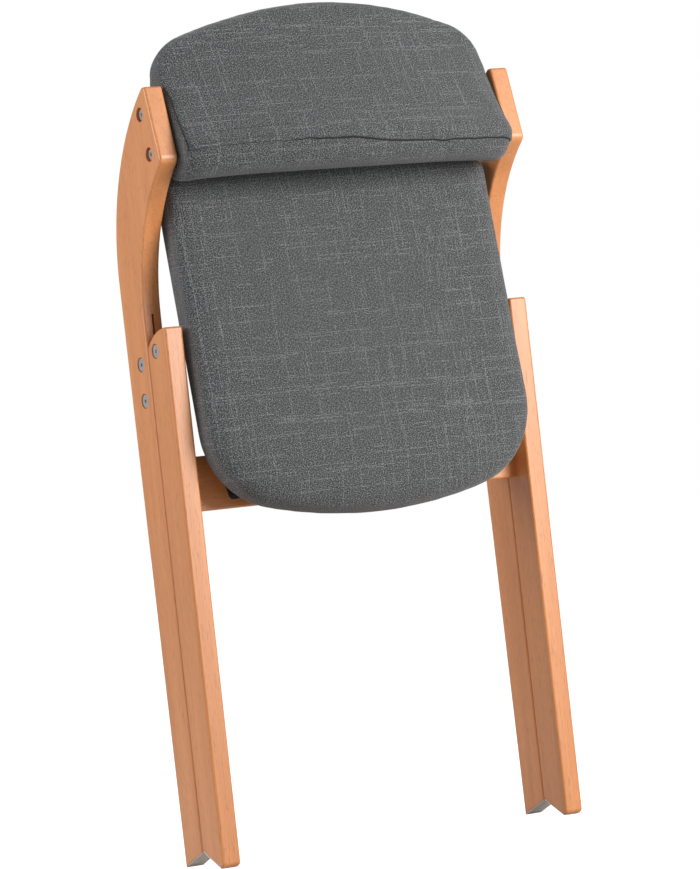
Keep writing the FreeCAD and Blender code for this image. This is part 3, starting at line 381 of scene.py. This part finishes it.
def make_cloth(name, base, slub, shade):
    """Flat woven linen look: speckled ground with broken pale slub threads both ways."""
    made = Shading(name, roughness=0.92)
    x, y, z = made.split(made.coordinates["Object"])
    facing = [made.math("ABSOLUTE", part) for part in made.split(made.coordinates["Normal"])]
    on_end = made.math("GREATER_THAN", facing[0], made.math("MAXIMUM", facing[1], facing[2]))
    on_top = made.math("GREATER_THAN", facing[2], made.math("MAXIMUM", facing[0], facing[1]))
    across = made.choose(on_end, x, y)
    along = made.choose(on_top, z, y)
    flat = made.join(across, along)

    def threads(across_scale, along_scale, detail):
        scaled = made.stretched(flat, (across_scale, along_scale, 1))
        return made.noise(scaled, detail=detail, flat=True)

    speckle = threads(820, 820, detail=1)
    dots = threads(620, 620, detail=0)
    weft = threads(520, 1500, detail=2)
    warp = threads(1500, 520, detail=2)
    ground = made.plus(made.times(weft, 0.5), made.times(warp, 0.5))
    clouds = made.noise(made.coordinates["Object"], scale=14, detail=2)
    tone = made.plus(made.between(ground, low=0.28, high=0.72), made.times(clouds, 0.2))
    colour = made.blend(made.times(tone, 0.8, clamp=True), shade, base)
    specks = made.times(made.between(speckle, low=0.54, high=0.70), SPECK_COVER)
    colour = made.blend(specks, colour, slub)
    gaps = made.between(speckle, low=0.46, high=0.31)
    colour = made.blend(gaps, colour, [part * GAP_SHADE for part in shade])
    slubs = made.math("MAXIMUM", slub_rows(made, along, across), slub_rows(made, across, along))
    broken = made.times(slubs, made.between(dots, low=0.45, high=0.57))
    pale = [part * SLUB_LIGHT for part in slub]
    made.set("Base Color", made.blend(made.times(broken, SLUB_COVER), colour, pale))
    made.set("Sheen Weight", 0.25)
    made.set("Sheen Roughness", 0.5)
    made.set("Specular IOR Level", 0.2)
    relief = made.plus(ground, made.times(slubs, 0.5))
    made.bump(made.plus(relief, made.times(speckle, 0.5)), strength=0.45, distance=0.0005)
    return made.material


def both_sides(*parts):
    return [f"{part}_{side}" for part in parts for side in ("left", "right")]


def paint_frame():
    """Materials for the CAD nodes that stay visible. Returns the plated steel and the lining."""
    zinc = make_metal("zinc", colour=(0.62, 0.61, 0.60), worn=(0.46, 0.45, 0.44),
                      roughness=0.36, metallic=0.85)
    black = make_metal("black_steel", colour=(0.022, 0.022, 0.024), worn=(0.05, 0.05, 0.052),
                       roughness=0.38, metallic=0.3)
    lining = make_lining()
    paint(both_sides("upright", "rear_leg"), make_wood("beech_upright", "z", **BEECH))
    paint(["front_rail", "rear_rail", "front_rail_dowels", "rear_rail_dowels"],
          make_wood("beech_rail", "x", **BEECH))
    paint(["seat_board"], make_wood("plywood", "x", **PLYWOOD))
    paint(both_sides("hinge_plate", "plate_bolts", "plate_nuts", "backrest_bolts",
                     "backrest_inserts", "pivot_bolt", "pivot_nut"), zinc)
    paint(both_sides("rail_hinge_leaf", "hinge_pin", "seat_hinge_leaf"), black)
    paint(["rail_leaf_screws", "seat_leaf_screws"], black)
    paint(both_sides("front_foot_pad", "rear_foot_pad"), make_pad_plastic())
    paint(["seat_dust_cover"], lining)
    return zinc, lining


# ---------------------------------------- mesh helpers

VOXEL = 0.005
PRESSURE = 4.0
SWELL_FRAMES = 20


def new_piece(name, mesh, body, material):
    """A finished piece: its mesh, its material and the body it rides on."""
    piece = bpy.data.objects.new(name, mesh)
    scene.collection.objects.link(piece)
    coat_with(mesh, material)
    mesh.polygons.foreach_set("use_smooth", [True] * len(mesh.polygons))
    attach(piece, body)
    return piece


def skin_faces(start, rows, count):
    """Faces of a closed skin through rings of count points each, with a cap at either end."""
    faces = []
    for row in range(rows - 1):
        for step in range(count):
            here = start + row * count + step
            there = start + row * count + (step + 1) % count
            faces.append((here, there, there + count, here + count))
    last = start + (rows - 1) * count
    faces.append(tuple(reversed(range(start, start + count))))
    faces.append(tuple(range(last, last + count)))
    return faces


def closed_mesh(name, points, faces):
    """Mesh of one or more closed skins, with every face turned outwards."""
    mesh = bpy.data.meshes.new(name)
    mesh.from_pydata([tuple(point) for point in points], [], faces)
    work = bmesh.new()
    work.from_mesh(mesh)
    bmesh.ops.recalc_face_normals(work, faces=work.faces)
    work.to_mesh(mesh)
    work.free()
    return mesh


def lofted(name, rings):
    """Closed skin through rings of equally many points."""
    points = [point for ring in rings for point in ring]
    return closed_mesh(name, points, skin_faces(0, len(rings), len(rings[0])))


def sheet_mesh(name, rows):
    """Open surface through rows of equally many points, its outside turned towards +Y."""
    count = len(rows[0])
    points = [tuple(point) for row in rows for point in row]
    faces = []
    for row in range(len(rows) - 1):
        for step in range(count - 1):
            here = row * count + step
            faces.append((here, here + 1, here + count + 1, here + count))
    mesh = bpy.data.meshes.new(name)
    mesh.from_pydata(points, [], faces)
    mesh.update()
    if sum(polygon.normal.y for polygon in mesh.polygons) < 0:
        mesh.flip_normals()
    return mesh


def around(centre, side, out, radius, angles):
    """Points round a centre, in the plane of the two directions side and out."""
    return [centre + (side * math.cos(angle) + out * math.sin(angle)) * radius for angle in angles]


def baked(piece):
    """Swap the piece's mesh for what its modifiers make of it."""
    graph = bpy.context.evaluated_depsgraph_get()
    mesh = bpy.data.meshes.new_from_object(piece.evaluated_get(graph))
    piece.modifiers.clear()
    piece.data = mesh


def places_of(mesh):
    """The mesh's vertices as rows of x, y and z."""
    flat = np.empty(len(mesh.vertices) * 3)
    mesh.vertices.foreach_get("co", flat)
    return flat.reshape(-1, 3)


def inflated(piece, start, freedom, reach):
    """Where air pressure takes the vertices, at most reach and scaled by each one's freedom."""
    cloth = piece.modifiers.new("cloth", "CLOTH")
    cloth.settings.use_pressure = True
    cloth.settings.uniform_pressure_force = PRESSURE
    cloth.settings.effector_weights.gravity = 0
    cloth.point_cache.frame_start = 1
    cloth.point_cache.frame_end = SWELL_FRAMES
    for step in range(1, SWELL_FRAMES + 1):
        scene.frame_set(step)
    graph = bpy.context.evaluated_depsgraph_get()
    swollen = bpy.data.meshes.new_from_object(piece.evaluated_get(graph))
    move = places_of(swollen) - start
    far = np.linalg.norm(move, axis=1, keepdims=True)
    capped = move * np.minimum(1, reach / np.maximum(far, 1e-9))
    piece.modifiers.clear()
    scene.frame_set(1)
    return start + capped * freedom(start)[:, None]


def swell(mesh, freedom, reach):
    """Remesh a closed skin and let it swell like a stuffed cover, by reach where freedom is 1."""
    piece = bpy.data.objects.new("swelling", mesh)
    scene.collection.objects.link(piece)
    remesh = piece.modifiers.new("remesh", "REMESH")
    remesh.mode = "VOXEL"
    remesh.voxel_size = VOXEL
    baked(piece)
    smooth = piece.modifiers.new("smooth", "SMOOTH")
    smooth.factor = 0.5
    smooth.iterations = 3
    baked(piece)
    moved = inflated(piece, places_of(piece.data), freedom, reach)
    piece.data.vertices.foreach_set("co", moved.ravel())
    finer = piece.modifiers.new("finer", "SUBSURF")
    finer.levels = 1
    finer.render_levels = 1
    baked(piece)
    result = piece.data
    bpy.data.objects.remove(piece)
    return result


def ease(value, low, high):
    """0 below low, 1 above high, smooth in between."""
    part = np.clip((value - low) / (high - low), 0, 1)
    return part * part * (3 - 2 * part)


# ---------------------------------------- seat cushion

SEAT_HINGE = Vector(joints["seat_hinge"]["pos_m"])
SEAT_LEAN = math.radians(8.5)
# from the seat lying level, its hinge at the origin and its front towards -Y, to its folded place
SEAT_TURN = Matrix.Translation(SEAT_HINGE) @ Matrix.Rotation(SEAT_LEAN - math.pi / 2, 4, "X")
SEAT_HALF = 0.2080
SEAT_FRONT, SEAT_FRONT_BOW, SEAT_FRONT_CORNER = 0.342, 0.008, 0.020
SEAT_FRONT_RADIUS = (SEAT_HALF ** 2 / SEAT_FRONT_BOW + SEAT_FRONT_BOW) / 2
SEAT_REAR, SEAT_REAR_RADIUS, SEAT_REAR_CORNER = 0.0715, 0.545, 0.092
SEAT_REAR_REACH = 0.05
SEAT_UNDERSIDE = 0.0152
# how far the cover may swell, and the heights above the underside where it starts to and is free
SEAT_SWELL, SEAT_FREE = 0.002, (0.004, 0.02)
SMALLEST_CORNER = 0.012
# the skin from its underside round the edge to the crown: how far in from the outline it lies at
# the sides and at the ends, and its height above the underside
SEAT_RINGS = [
    (0.032, 0.032, 0.0012), (0.0245, 0.0245, 0.0002), (0.019, 0.019, -0.0009),
    (0.012, 0.012, -0.0010), (0.005, 0.005, 0.0012), (0.001, 0.001, 0.0075),
    (0.0, 0.0, 0.015), (-0.0010, 0.0, 0.0245), (-0.0018, 0.003, 0.0325),
    (0.0, 0.009, 0.0388), (0.0045, 0.018, 0.0430), (0.0120, 0.030, 0.0460),
    (0.025, 0.045, 0.0478), (0.05, 0.065, 0.0488), (0.09, 0.10, 0.0495),
    (0.14, 0.14, 0.0498), (0.17, 0.17, 0.0500),
]


def quarter_outline(half, end, radius, corner):
    """From the end of the straight side, x = half, round the corner to the middle of the end."""
    centre_x = half - corner
    bow_centre = end - radius
    centre_y = bow_centre + math.sqrt((radius - corner) ** 2 - centre_x ** 2)
    turn = math.atan2(centre_y - bow_centre, centre_x)
    points = []
    for angle in np.linspace(0, turn, 12):
        points.append((centre_x + corner * math.cos(angle), centre_y + corner * math.sin(angle)))
    for angle in np.linspace(turn, math.pi / 2, 14)[1:]:
        points.append((radius * math.cos(angle), bow_centre + radius * math.sin(angle)))
    return points


def seat_outline(inset, side_inset):
    """Outline of the seat drawn in by inset at its ends, and by side_inset at its sides."""
    half = SEAT_HALF - side_inset
    rear_end = SEAT_REAR - min(inset, SEAT_REAR_REACH)
    rear_corner = max(SEAT_REAR_CORNER - side_inset, SMALLEST_CORNER)
    front_corner = max(SEAT_FRONT_CORNER - inset, SMALLEST_CORNER)
    rear = quarter_outline(half, rear_end, SEAT_REAR_RADIUS - inset, rear_corner)
    front = quarter_outline(half, SEAT_FRONT - inset, SEAT_FRONT_RADIUS - inset, front_corner)
    length = front[0][1] + rear[0][1]
    side = [(half, rear[0][1] - length * part) for part in (0.2, 0.4, 0.6, 0.8)]
    rear_half = rear + [(-x, y) for x, y in reversed(rear[:-1])]
    front_half = [(x, -y) for x, y in front] + [(-x, -y) for x, y in reversed(front[:-1])]
    return rear_half + [(-x, y) for x, y in side] + list(reversed(front_half)) + side[::-1]


def make_seat_cushion(cloth):
    """Upholstered seat: a shallow crowned pad that wraps under the edge of its board."""
    rings = []
    for side_inset, inset, rise in SEAT_RINGS:
        outline = seat_outline(inset, side_inset)
        rings.append([Vector((x, y, SEAT_UNDERSIDE + rise)) for x, y in outline])

    def freedom(places):
        return ease(places[:, 2], SEAT_UNDERSIDE + SEAT_FREE[0], SEAT_UNDERSIDE + SEAT_FREE[1])

    mesh = swell(lofted("seat_pad", rings), freedom, SEAT_SWELL)
    mesh.transform(SEAT_TURN)
    piece = new_piece("seat_pad", mesh, "seat", cloth)
    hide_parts("seat_cushion")


# ---------------------------------------- staples of the dust cover

STAPLE_INSET, STAPLE_SPACING, STAPLE_SLANT = 0.027, 0.034, 0.16
STAPLE_LONG, STAPLE_WIRE = 0.0095, 0.0006
COVER_FACE = 0.0145


def along_closed(points, spacing):
    """Places and directions at even spacing along a closed outline."""
    path = np.array(points)
    steps = np.roll(path, -1, axis=0) - path
    reach = np.linalg.norm(steps, axis=1)
    ends = np.cumsum(reach)
    count = int(ends[-1] / spacing)
    places = []
    for number in range(count):
        target = (number + 0.5) * ends[-1] / count
        edge = int(np.searchsorted(ends, target))
        part = 1 - (ends[edge] - target) / reach[edge]
        places.append((path[edge] + steps[edge] * part, steps[edge] / reach[edge]))
    return places


def make_staples(steel):
    """Flat wire staples round the edge of the dust cover, on the underside of the seat."""
    outline = seat_outline(STAPLE_INSET, STAPLE_INSET)
    size = (STAPLE_LONG, STAPLE_WIRE * 2, STAPLE_WIRE)
    work = bmesh.new()
    for (x, y), ahead in along_closed(outline, STAPLE_SPACING):
        slant = math.atan2(ahead[1], ahead[0]) + float(rng.uniform(-STAPLE_SLANT, STAPLE_SLANT))
        crown = bmesh.ops.create_cube(work, size=1)["verts"]
        bmesh.ops.scale(work, vec=size, verts=crown)
        bmesh.ops.transform(work, matrix=Matrix.Rotation(slant, 4, "Z"), verts=crown)
        bmesh.ops.translate(work, vec=(x, y, COVER_FACE - STAPLE_WIRE / 3), verts=crown)
    edges = list(work.edges)
    bmesh.ops.bevel(work, geom=edges, offset=STAPLE_WIRE / 4, segments=1, affect="EDGES")
    mesh = bpy.data.meshes.new("dust_cover_staples")
    work.to_mesh(mesh)
    work.free()
    mesh.transform(SEAT_TURN)
    new_piece("dust_cover_staples", mesh, "seat", steel)


# ---------------------------------------- backrest cushion

# depth runs towards the back from a plane in front of the chair's own origin
DEPTH_ORIGIN = 0.0925
BEND_AXIS = -0.64095
BACK_END = 0.2105
BACK_END_ROUND = {1: 0.007, -1: 0.012}
BACK_SIDE, BACK_CORNER = 0.2105, 0.053
BACK_ARCH_TOP, BACK_ARCH_RADIUS = 0.9610, 0.479
# how far the cover may swell, and how far in from the ends it is free
BACK_SWELL, BACK_FREE, BACK_FREE_FROM = 0.003, 0.02, BACK_END + 0.001
# the front face is straight from low to high, each as depth and height
FRONT_LOW, FRONT_HIGH = (0.1315, 0.774), (0.080, 0.960)
REAR_HEIGHTS, REAR_DEPTHS = (0.795, 0.868, 0.892, 0.960), (0.1865, 0.145, 0.133, 0.113)
REAR_CURVE = np.polyfit(REAR_HEIGHTS, REAR_DEPTHS, 3)
ROLL_CENTRE, ROLL_RADIUS = (0.152, 0.795), 0.0345
ROLL_UNDERSIDE = [(0.143, 0.7605), (0.1365, 0.7625), (0.1325, 0.7675)]
# depths between which the ends' rounding grows from half, on the front, to full, on the roll
ROUNDING_HALF, ROUNDING_FULL = 0.135, 0.165
# the rounded top edge: its height, and how square it is, from 1 for round towards 0
TOP_ROUND, TOP_POWER = 0.016, 0.8
FACE_STEPS, TOP_STEPS, ROLL_STEPS, END_STEPS, BACK_STATIONS = 20, 13, 11, 8, 60


def back_top(x):
    """Height of the arched upper outline above a place across the chair."""
    across = min(abs(x), BACK_SIDE)
    arch_centre = BACK_ARCH_TOP - BACK_ARCH_RADIUS
    corner_x = BACK_SIDE - BACK_CORNER
    corner_z = arch_centre + math.sqrt((BACK_ARCH_RADIUS - BACK_CORNER) ** 2 - corner_x ** 2)
    tangent_x = corner_x * BACK_ARCH_RADIUS / (BACK_ARCH_RADIUS - BACK_CORNER)
    if across < tangent_x:
        return arch_centre + math.sqrt(BACK_ARCH_RADIUS ** 2 - across ** 2)
    return corner_z + math.sqrt(max(BACK_CORNER ** 2 - (across - corner_x) ** 2, 0))


def rear_depth(height):
    return np.polyval(REAR_CURVE, height)


def front_depth(height):
    return np.interp(height, (FRONT_LOW[1], FRONT_HIGH[1]), (FRONT_LOW[0], FRONT_HIGH[0]))


def back_section(x):
    """Closed section of the backrest: up the front, over the top, down the rear, round the roll."""
    shoulder = back_top(x) - TOP_ROUND
    front, rear = front_depth(shoulder), rear_depth(shoulder)
    rising = np.linspace(FRONT_LOW[1], shoulder, FACE_STEPS)
    loop = [(front_depth(height), height) for height in rising]
    for angle in np.linspace(math.pi, 0, TOP_STEPS)[1:-1]:
        lift = abs(math.sin(angle)) ** TOP_POWER
        swing = math.copysign(abs(math.cos(angle)) ** TOP_POWER, math.cos(angle))
        depth = (front + rear) / 2 + (rear - front) / 2 * swing
        loop.append((depth, shoulder + TOP_ROUND * lift))
    falling = np.linspace(shoulder, REAR_HEIGHTS[0], FACE_STEPS)
    loop += [(rear_depth(height), height) for height in falling]
    for angle in np.linspace(0, -math.pi / 2, ROLL_STEPS)[1:]:
        depth = ROLL_CENTRE[0] + ROLL_RADIUS * math.cos(angle)
        loop.append((depth, ROLL_CENTRE[1] + ROLL_RADIUS * math.sin(angle)))
    return np.array(loop + ROLL_UNDERSIDE)


def shrunk(loop, inset):
    """The loop moved inwards, right of its way round: by inset at the roll, half that elsewhere."""
    ahead = np.roll(loop, -1, axis=0) - np.roll(loop, 1, axis=0)
    ahead /= np.linalg.norm(ahead, axis=1, keepdims=True)
    inwards = np.stack([ahead[:, 1], -ahead[:, 0]], axis=1)
    share = 0.5 + 0.5 * ease(loop[:, 0], ROUNDING_HALF, ROUNDING_FULL)
    return loop + inwards * (inset * share)[:, None]


def bent(x, depth, height):
    """Place of a section point at x, bent round the upright axis in front of the chair."""
    reach = depth - BEND_AXIS
    return Vector((x, BEND_AXIS + math.sqrt(reach ** 2 - x ** 2) - DEPTH_ORIGIN, height))


def end_stations(side):
    """Places across the rounded end of the backrest, with the inset of the section there."""
    rounding = BACK_END_ROUND[side]
    stations = []
    for angle in np.linspace(math.pi / 2, 0, END_STEPS)[:-1]:
        x = BACK_END - rounding * (1 - math.sin(angle))
        stations.append((side * x, rounding * (1 - math.cos(angle))))
    return stations


def back_stations():
    """Places across the backrest from +X to -X, with the inset of the section there."""
    left, right = BACK_END - BACK_END_ROUND[1], -BACK_END + BACK_END_ROUND[-1]
    inner = [(x, 0.0) for x in np.linspace(left, right, BACK_STATIONS)]
    return end_stations(1) + inner + end_stations(-1)[::-1]


def make_backrest_cushion(cloth):
    """Upholstered backrest: bent round the sitter, arched on top, with a roll along its foot."""
    rings = []
    for x, inset in back_stations():
        loop = shrunk(back_section(x), inset)
        rings.append([bent(x, depth, height) for depth, height in loop])

    def freedom(places):
        return ease(BACK_FREE_FROM - np.abs(places[:, 0]), 0.0, BACK_FREE)

    mesh = swell(lofted("backrest_pad", rings), freedom, BACK_SWELL)
    piece = new_piece("backrest_pad", mesh, "front_frame", cloth)
    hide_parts("backrest_cushion")
    return piece


# ---------------------------------------- backrest: hem, slit, seams and stitches

# the rear panel's lower edge: its heights at four places across, its small wander and its ends
HEM_CURVE = np.polyfit((0.205, 0.08, -0.05, -0.19), (0.7925, 0.7962, 0.7911, 0.7863), 3)
HEM_WANDER = 0.0004
HEM_ENDS = (0.2060, -0.2065)
# share, rate and start of each wave in the wander of a sewn edge
WAVES = ((0.6, 31, 0.7), (0.4, 83, 2.1))
# from the first place towards the second the edge comes loose and the slit under it opens
SLIT_START, SLIT_FULL = 0.105, 0.040
# width of the painted-shade strip under the hem: narrow where sewn, wider where the edge hangs
# loose
SLIT_NARROW, SLIT_WIDENS = 0.0003, 0.0017
# the panel stands proud of the pad by SEWN where it is sewn and by LOOSE more over the slit
FLAP_SEWN, FLAP_LOOSE, FLAP_WAVE = 0.0013, 0.0010, 0.0003
FLAP_RISE, FLAP_FADE, FLAP_SINK, FLAP_END_SINK = 0.050, 0.006, 0.0006, -0.0008
# the turned edge: height above the hem, and the share of the panel's thickness it stands out
HEM_TURN = ((-0.0002, -0.6), (-0.0009, 0.0), (-0.0010, 0.5), (-0.0004, 0.95), (0.0005, 1.0))
# the two rows of stitches: height above the hem, and the width and depth of the dent they pull
STITCH_ROWS = (0.0035, 0.0150)
DENT_WIDTH, DENT_DEPTH = 0.0009, 0.0010
STITCH_LONG, STITCH_SPACING, STITCH_LIFT, THREAD_RADIUS = 0.0030, 0.0044, 0.0004, 0.00042
STITCHES_FROM, STITCHES_TO = HEM_ENDS[0] - 0.006, (SLIT_START, SLIT_START - 0.035)
# a stitch from end to end: place along it from -1 to 1, and the share of its full thickness there
STITCH_SHAPE = ((-1, 0.25), (-0.6, 0.85), (0, 1.0), (0.6, 0.85), (1, 0.25))
HEXAGON = [corner * math.pi / 3 for corner in range(6)]
OCTAGON = [corner * math.pi / 4 for corner in range(8)]
# the side seams: x at the foot, how far they lean and bow inwards, where the bow starts, and rise
SEAM_FOOT, SEAM_LEAN, SEAM_BOW, SEAM_STRAIGHT, SEAM_RISE = 0.2086, 0.0012, -0.0020, 0.80, 0.074
SEAM_START, SEAM_LIFT, SEAM_RADIUS, SEAM_AHEAD = 0.002, 0.0003, 0.0007, 0.01
PANEL_STEPS, SLIT_STEPS, SEAM_STEPS = 200, 180, 70
# direction square to the rear face, as depth and height, and how far out a probe starts
REAR_NORMAL = (0.87, 0.49)
PROBE = 0.03


class Skin:
    """The finished outside of the backrest pad, found along lines square to its rear."""

    def __init__(self, piece):
        mesh = piece.data
        points = [vertex.co.copy() for vertex in mesh.vertices]
        faces = [tuple(polygon.vertices) for polygon in mesh.polygons]
        self.tree = BVHTree.FromPolygons(points, faces)

    def at(self, x, height, lift):
        """Point of the rear face at that height, lifted off along the face's normal."""
        depth = rear_depth(max(height, REAR_HEIGHTS[0]))
        near = bent(x, depth, height)
        far = bent(x, depth + PROBE * REAR_NORMAL[0], height + PROBE * REAR_NORMAL[1])
        place, normal, _, _ = self.tree.ray_cast(far, (near - far).normalized())
        if place is None:
            place, normal, _, _ = self.tree.find_nearest(near)
        return place + normal * lift


def wave(x):
    """Small uneven wander of a sewn edge, between about -1 and 1."""
    return sum(share * math.sin(rate * x + start) for share, rate, start in WAVES)


def hem_height(x):
    """Height of the sewn edge: it arches over +X, sinks towards -X and wanders slightly."""
    return np.polyval(HEM_CURVE, x) + HEM_WANDER * wave(x)


def looseness(x):
    """0 where the rear panel's lower edge is sewn down, near +X, and 1 where it hangs loose."""
    return float(ease(-x, -SLIT_START, -SLIT_FULL))


def flap_rises():
    """Heights above the hem at which the rear panel is drawn, close together at the stitches."""
    fine = np.arange(0.0015, 0.0185, 0.0008)
    coarse = np.linspace(0.0195, FLAP_RISE, 9)
    return [*fine, *coarse]


def flap_column(skin, x, sunk=False):
    """One line down the rear panel, turned under at the hem; sunk hides it inside the pad."""
    loose = looseness(x)
    hem = hem_height(x)
    thick = FLAP_SEWN + loose * (FLAP_LOOSE + FLAP_WAVE * wave(x))
    line = [(rise, thick * share) for rise, share in HEM_TURN]
    for rise in flap_rises():
        fade = 1 - float(ease(rise, FLAP_FADE, FLAP_RISE - FLAP_FADE))
        lift = thick * fade - FLAP_SINK * (1 - fade)
        for row in STITCH_ROWS:
            lift -= DENT_DEPTH * (1 - loose) * math.exp(-((rise - row) / DENT_WIDTH) ** 2)
        line.append((rise, lift))
    return [skin.at(x, hem + rise, FLAP_END_SINK if sunk else lift) for rise, lift in line]


def make_rear_panel(skin, cloth):
    """Lower edge of the cover's rear panel, which hangs over the roll."""
    left, right = HEM_ENDS
    columns = [flap_column(skin, left + 0.0006, sunk=True)]
    columns += [flap_column(skin, x) for x in np.linspace(left, right, PANEL_STEPS)]
    columns.append(flap_column(skin, right - 0.0008, sunk=True))
    mesh = sheet_mesh("backrest_rear_panel", columns)
    new_piece("backrest_rear_panel", mesh, "front_frame", cloth)


def make_slit_shade(skin, lining):
    """Dark strip under the loose edge of the rear panel, in the black lining material: painted
    shade of the open slit.
    """
    left, right = HEM_ENDS
    columns = []
    for x in np.linspace(left - 0.001, right + 0.001, SLIT_STEPS):
        width = SLIT_NARROW + SLIT_WIDENS * looseness(x)
        # height from the hem and lift off the pad, from under the panel down to the lower edge
        section = ((0.0006, 0.0001), (-0.0006, 0.0006),
                   (-0.0012 - width / 2, 0.0006), (-0.0010 - width, -0.0003))
        hem = hem_height(x)
        columns.append([skin.at(x, hem + rise, lift) for rise, lift in section])
    # this strip is painted shade standing in for the shadow in the slit, not a part of the cover
    mesh = sheet_mesh("backrest_slit_painted_shade", columns)
    new_piece("backrest_slit_painted_shade", mesh, "front_frame", lining)


def seam_place(skin, side, part):
    """Point of the seam between rear and end panel, from the hem (0) up to the shoulder (1)."""
    bow = max(part - SEAM_STRAIGHT, 0) / (1 - SEAM_STRAIGHT)
    x = side * (SEAM_FOOT - SEAM_LEAN * part - SEAM_BOW * bow ** 2)
    return skin.at(x, hem_height(x) + SEAM_START + part * SEAM_RISE, SEAM_LIFT)


def make_side_seam(skin, side, thread):
    """Thin seam down one end of the back. The seam is real; its near-black colour is painted shade
    of the shaded end panel beside it.
    """
    rings = []
    for part in np.linspace(0, 1, SEAM_STEPS):
        centre = seam_place(skin, side, part)
        ahead = (seam_place(skin, side, part + SEAM_AHEAD) - centre).normalized()
        across = ahead.cross(Vector((0, 1, 0))).normalized()
        rings.append(around(centre, across, across.cross(ahead), SEAM_RADIUS, OCTAGON))
    name = "backrest_side_seam_" + ("left" if side == 1 else "right")
    new_piece(name, lofted(name, rings), "front_frame", thread)


def make_back_stitches(skin, thread):
    """Double row of separate stitches along the sewn part of the hem."""
    points, faces = [], []
    start = STITCHES_FROM
    for row, end in zip(STITCH_ROWS, STITCHES_TO):
        count = int((start - end) / STITCH_SPACING)
        for number in range(count):
            middle = start + (end - start) * (number + 0.5) / count
            places = []
            for part, _ in STITCH_SHAPE:
                x = middle - part * STITCH_LONG / 2
                places.append(skin.at(x, hem_height(x) + row, STITCH_LIFT))
            ahead = (places[-1] - places[0]).normalized()
            side = ahead.cross(Vector((0, 1, 0))).normalized()
            faces += skin_faces(len(points), len(places), len(HEXAGON))
            for place, (_, share) in zip(places, STITCH_SHAPE):
                points += around(place, side, side.cross(ahead), THREAD_RADIUS * share, HEXAGON)
    mesh = closed_mesh("backrest_stitches", points, faces)
    new_piece("backrest_stitches", mesh, "front_frame", thread)


def finish_backrest(pad, cloth, lining):
    """The sewn details, and the painted-shade strip in the slit, that lie on the finished pad."""
    skin = Skin(pad)
    thread = make_thread()
    make_rear_panel(skin, cloth)
    make_slit_shade(skin, lining)
    for side in (1, -1):
        # the side seams take the near-black thread colour as painted shade along the shaded ends
        make_side_seam(skin, side, thread)
    make_back_stitches(skin, thread)


# ---------------------------------------- the whole model

make_stage()
zinc, lining = paint_frame()
cloth = make_cloth("slate_cloth", base=(0.092, 0.0945, 0.097), slub=(0.27, 0.275, 0.28),
                   shade=(0.050, 0.052, 0.054))
paint(["backrest_board"], cloth)
make_seat_cushion(cloth)
make_staples(zinc)
finish_backrest(make_backrest_cushion(cloth), cloth, lining)
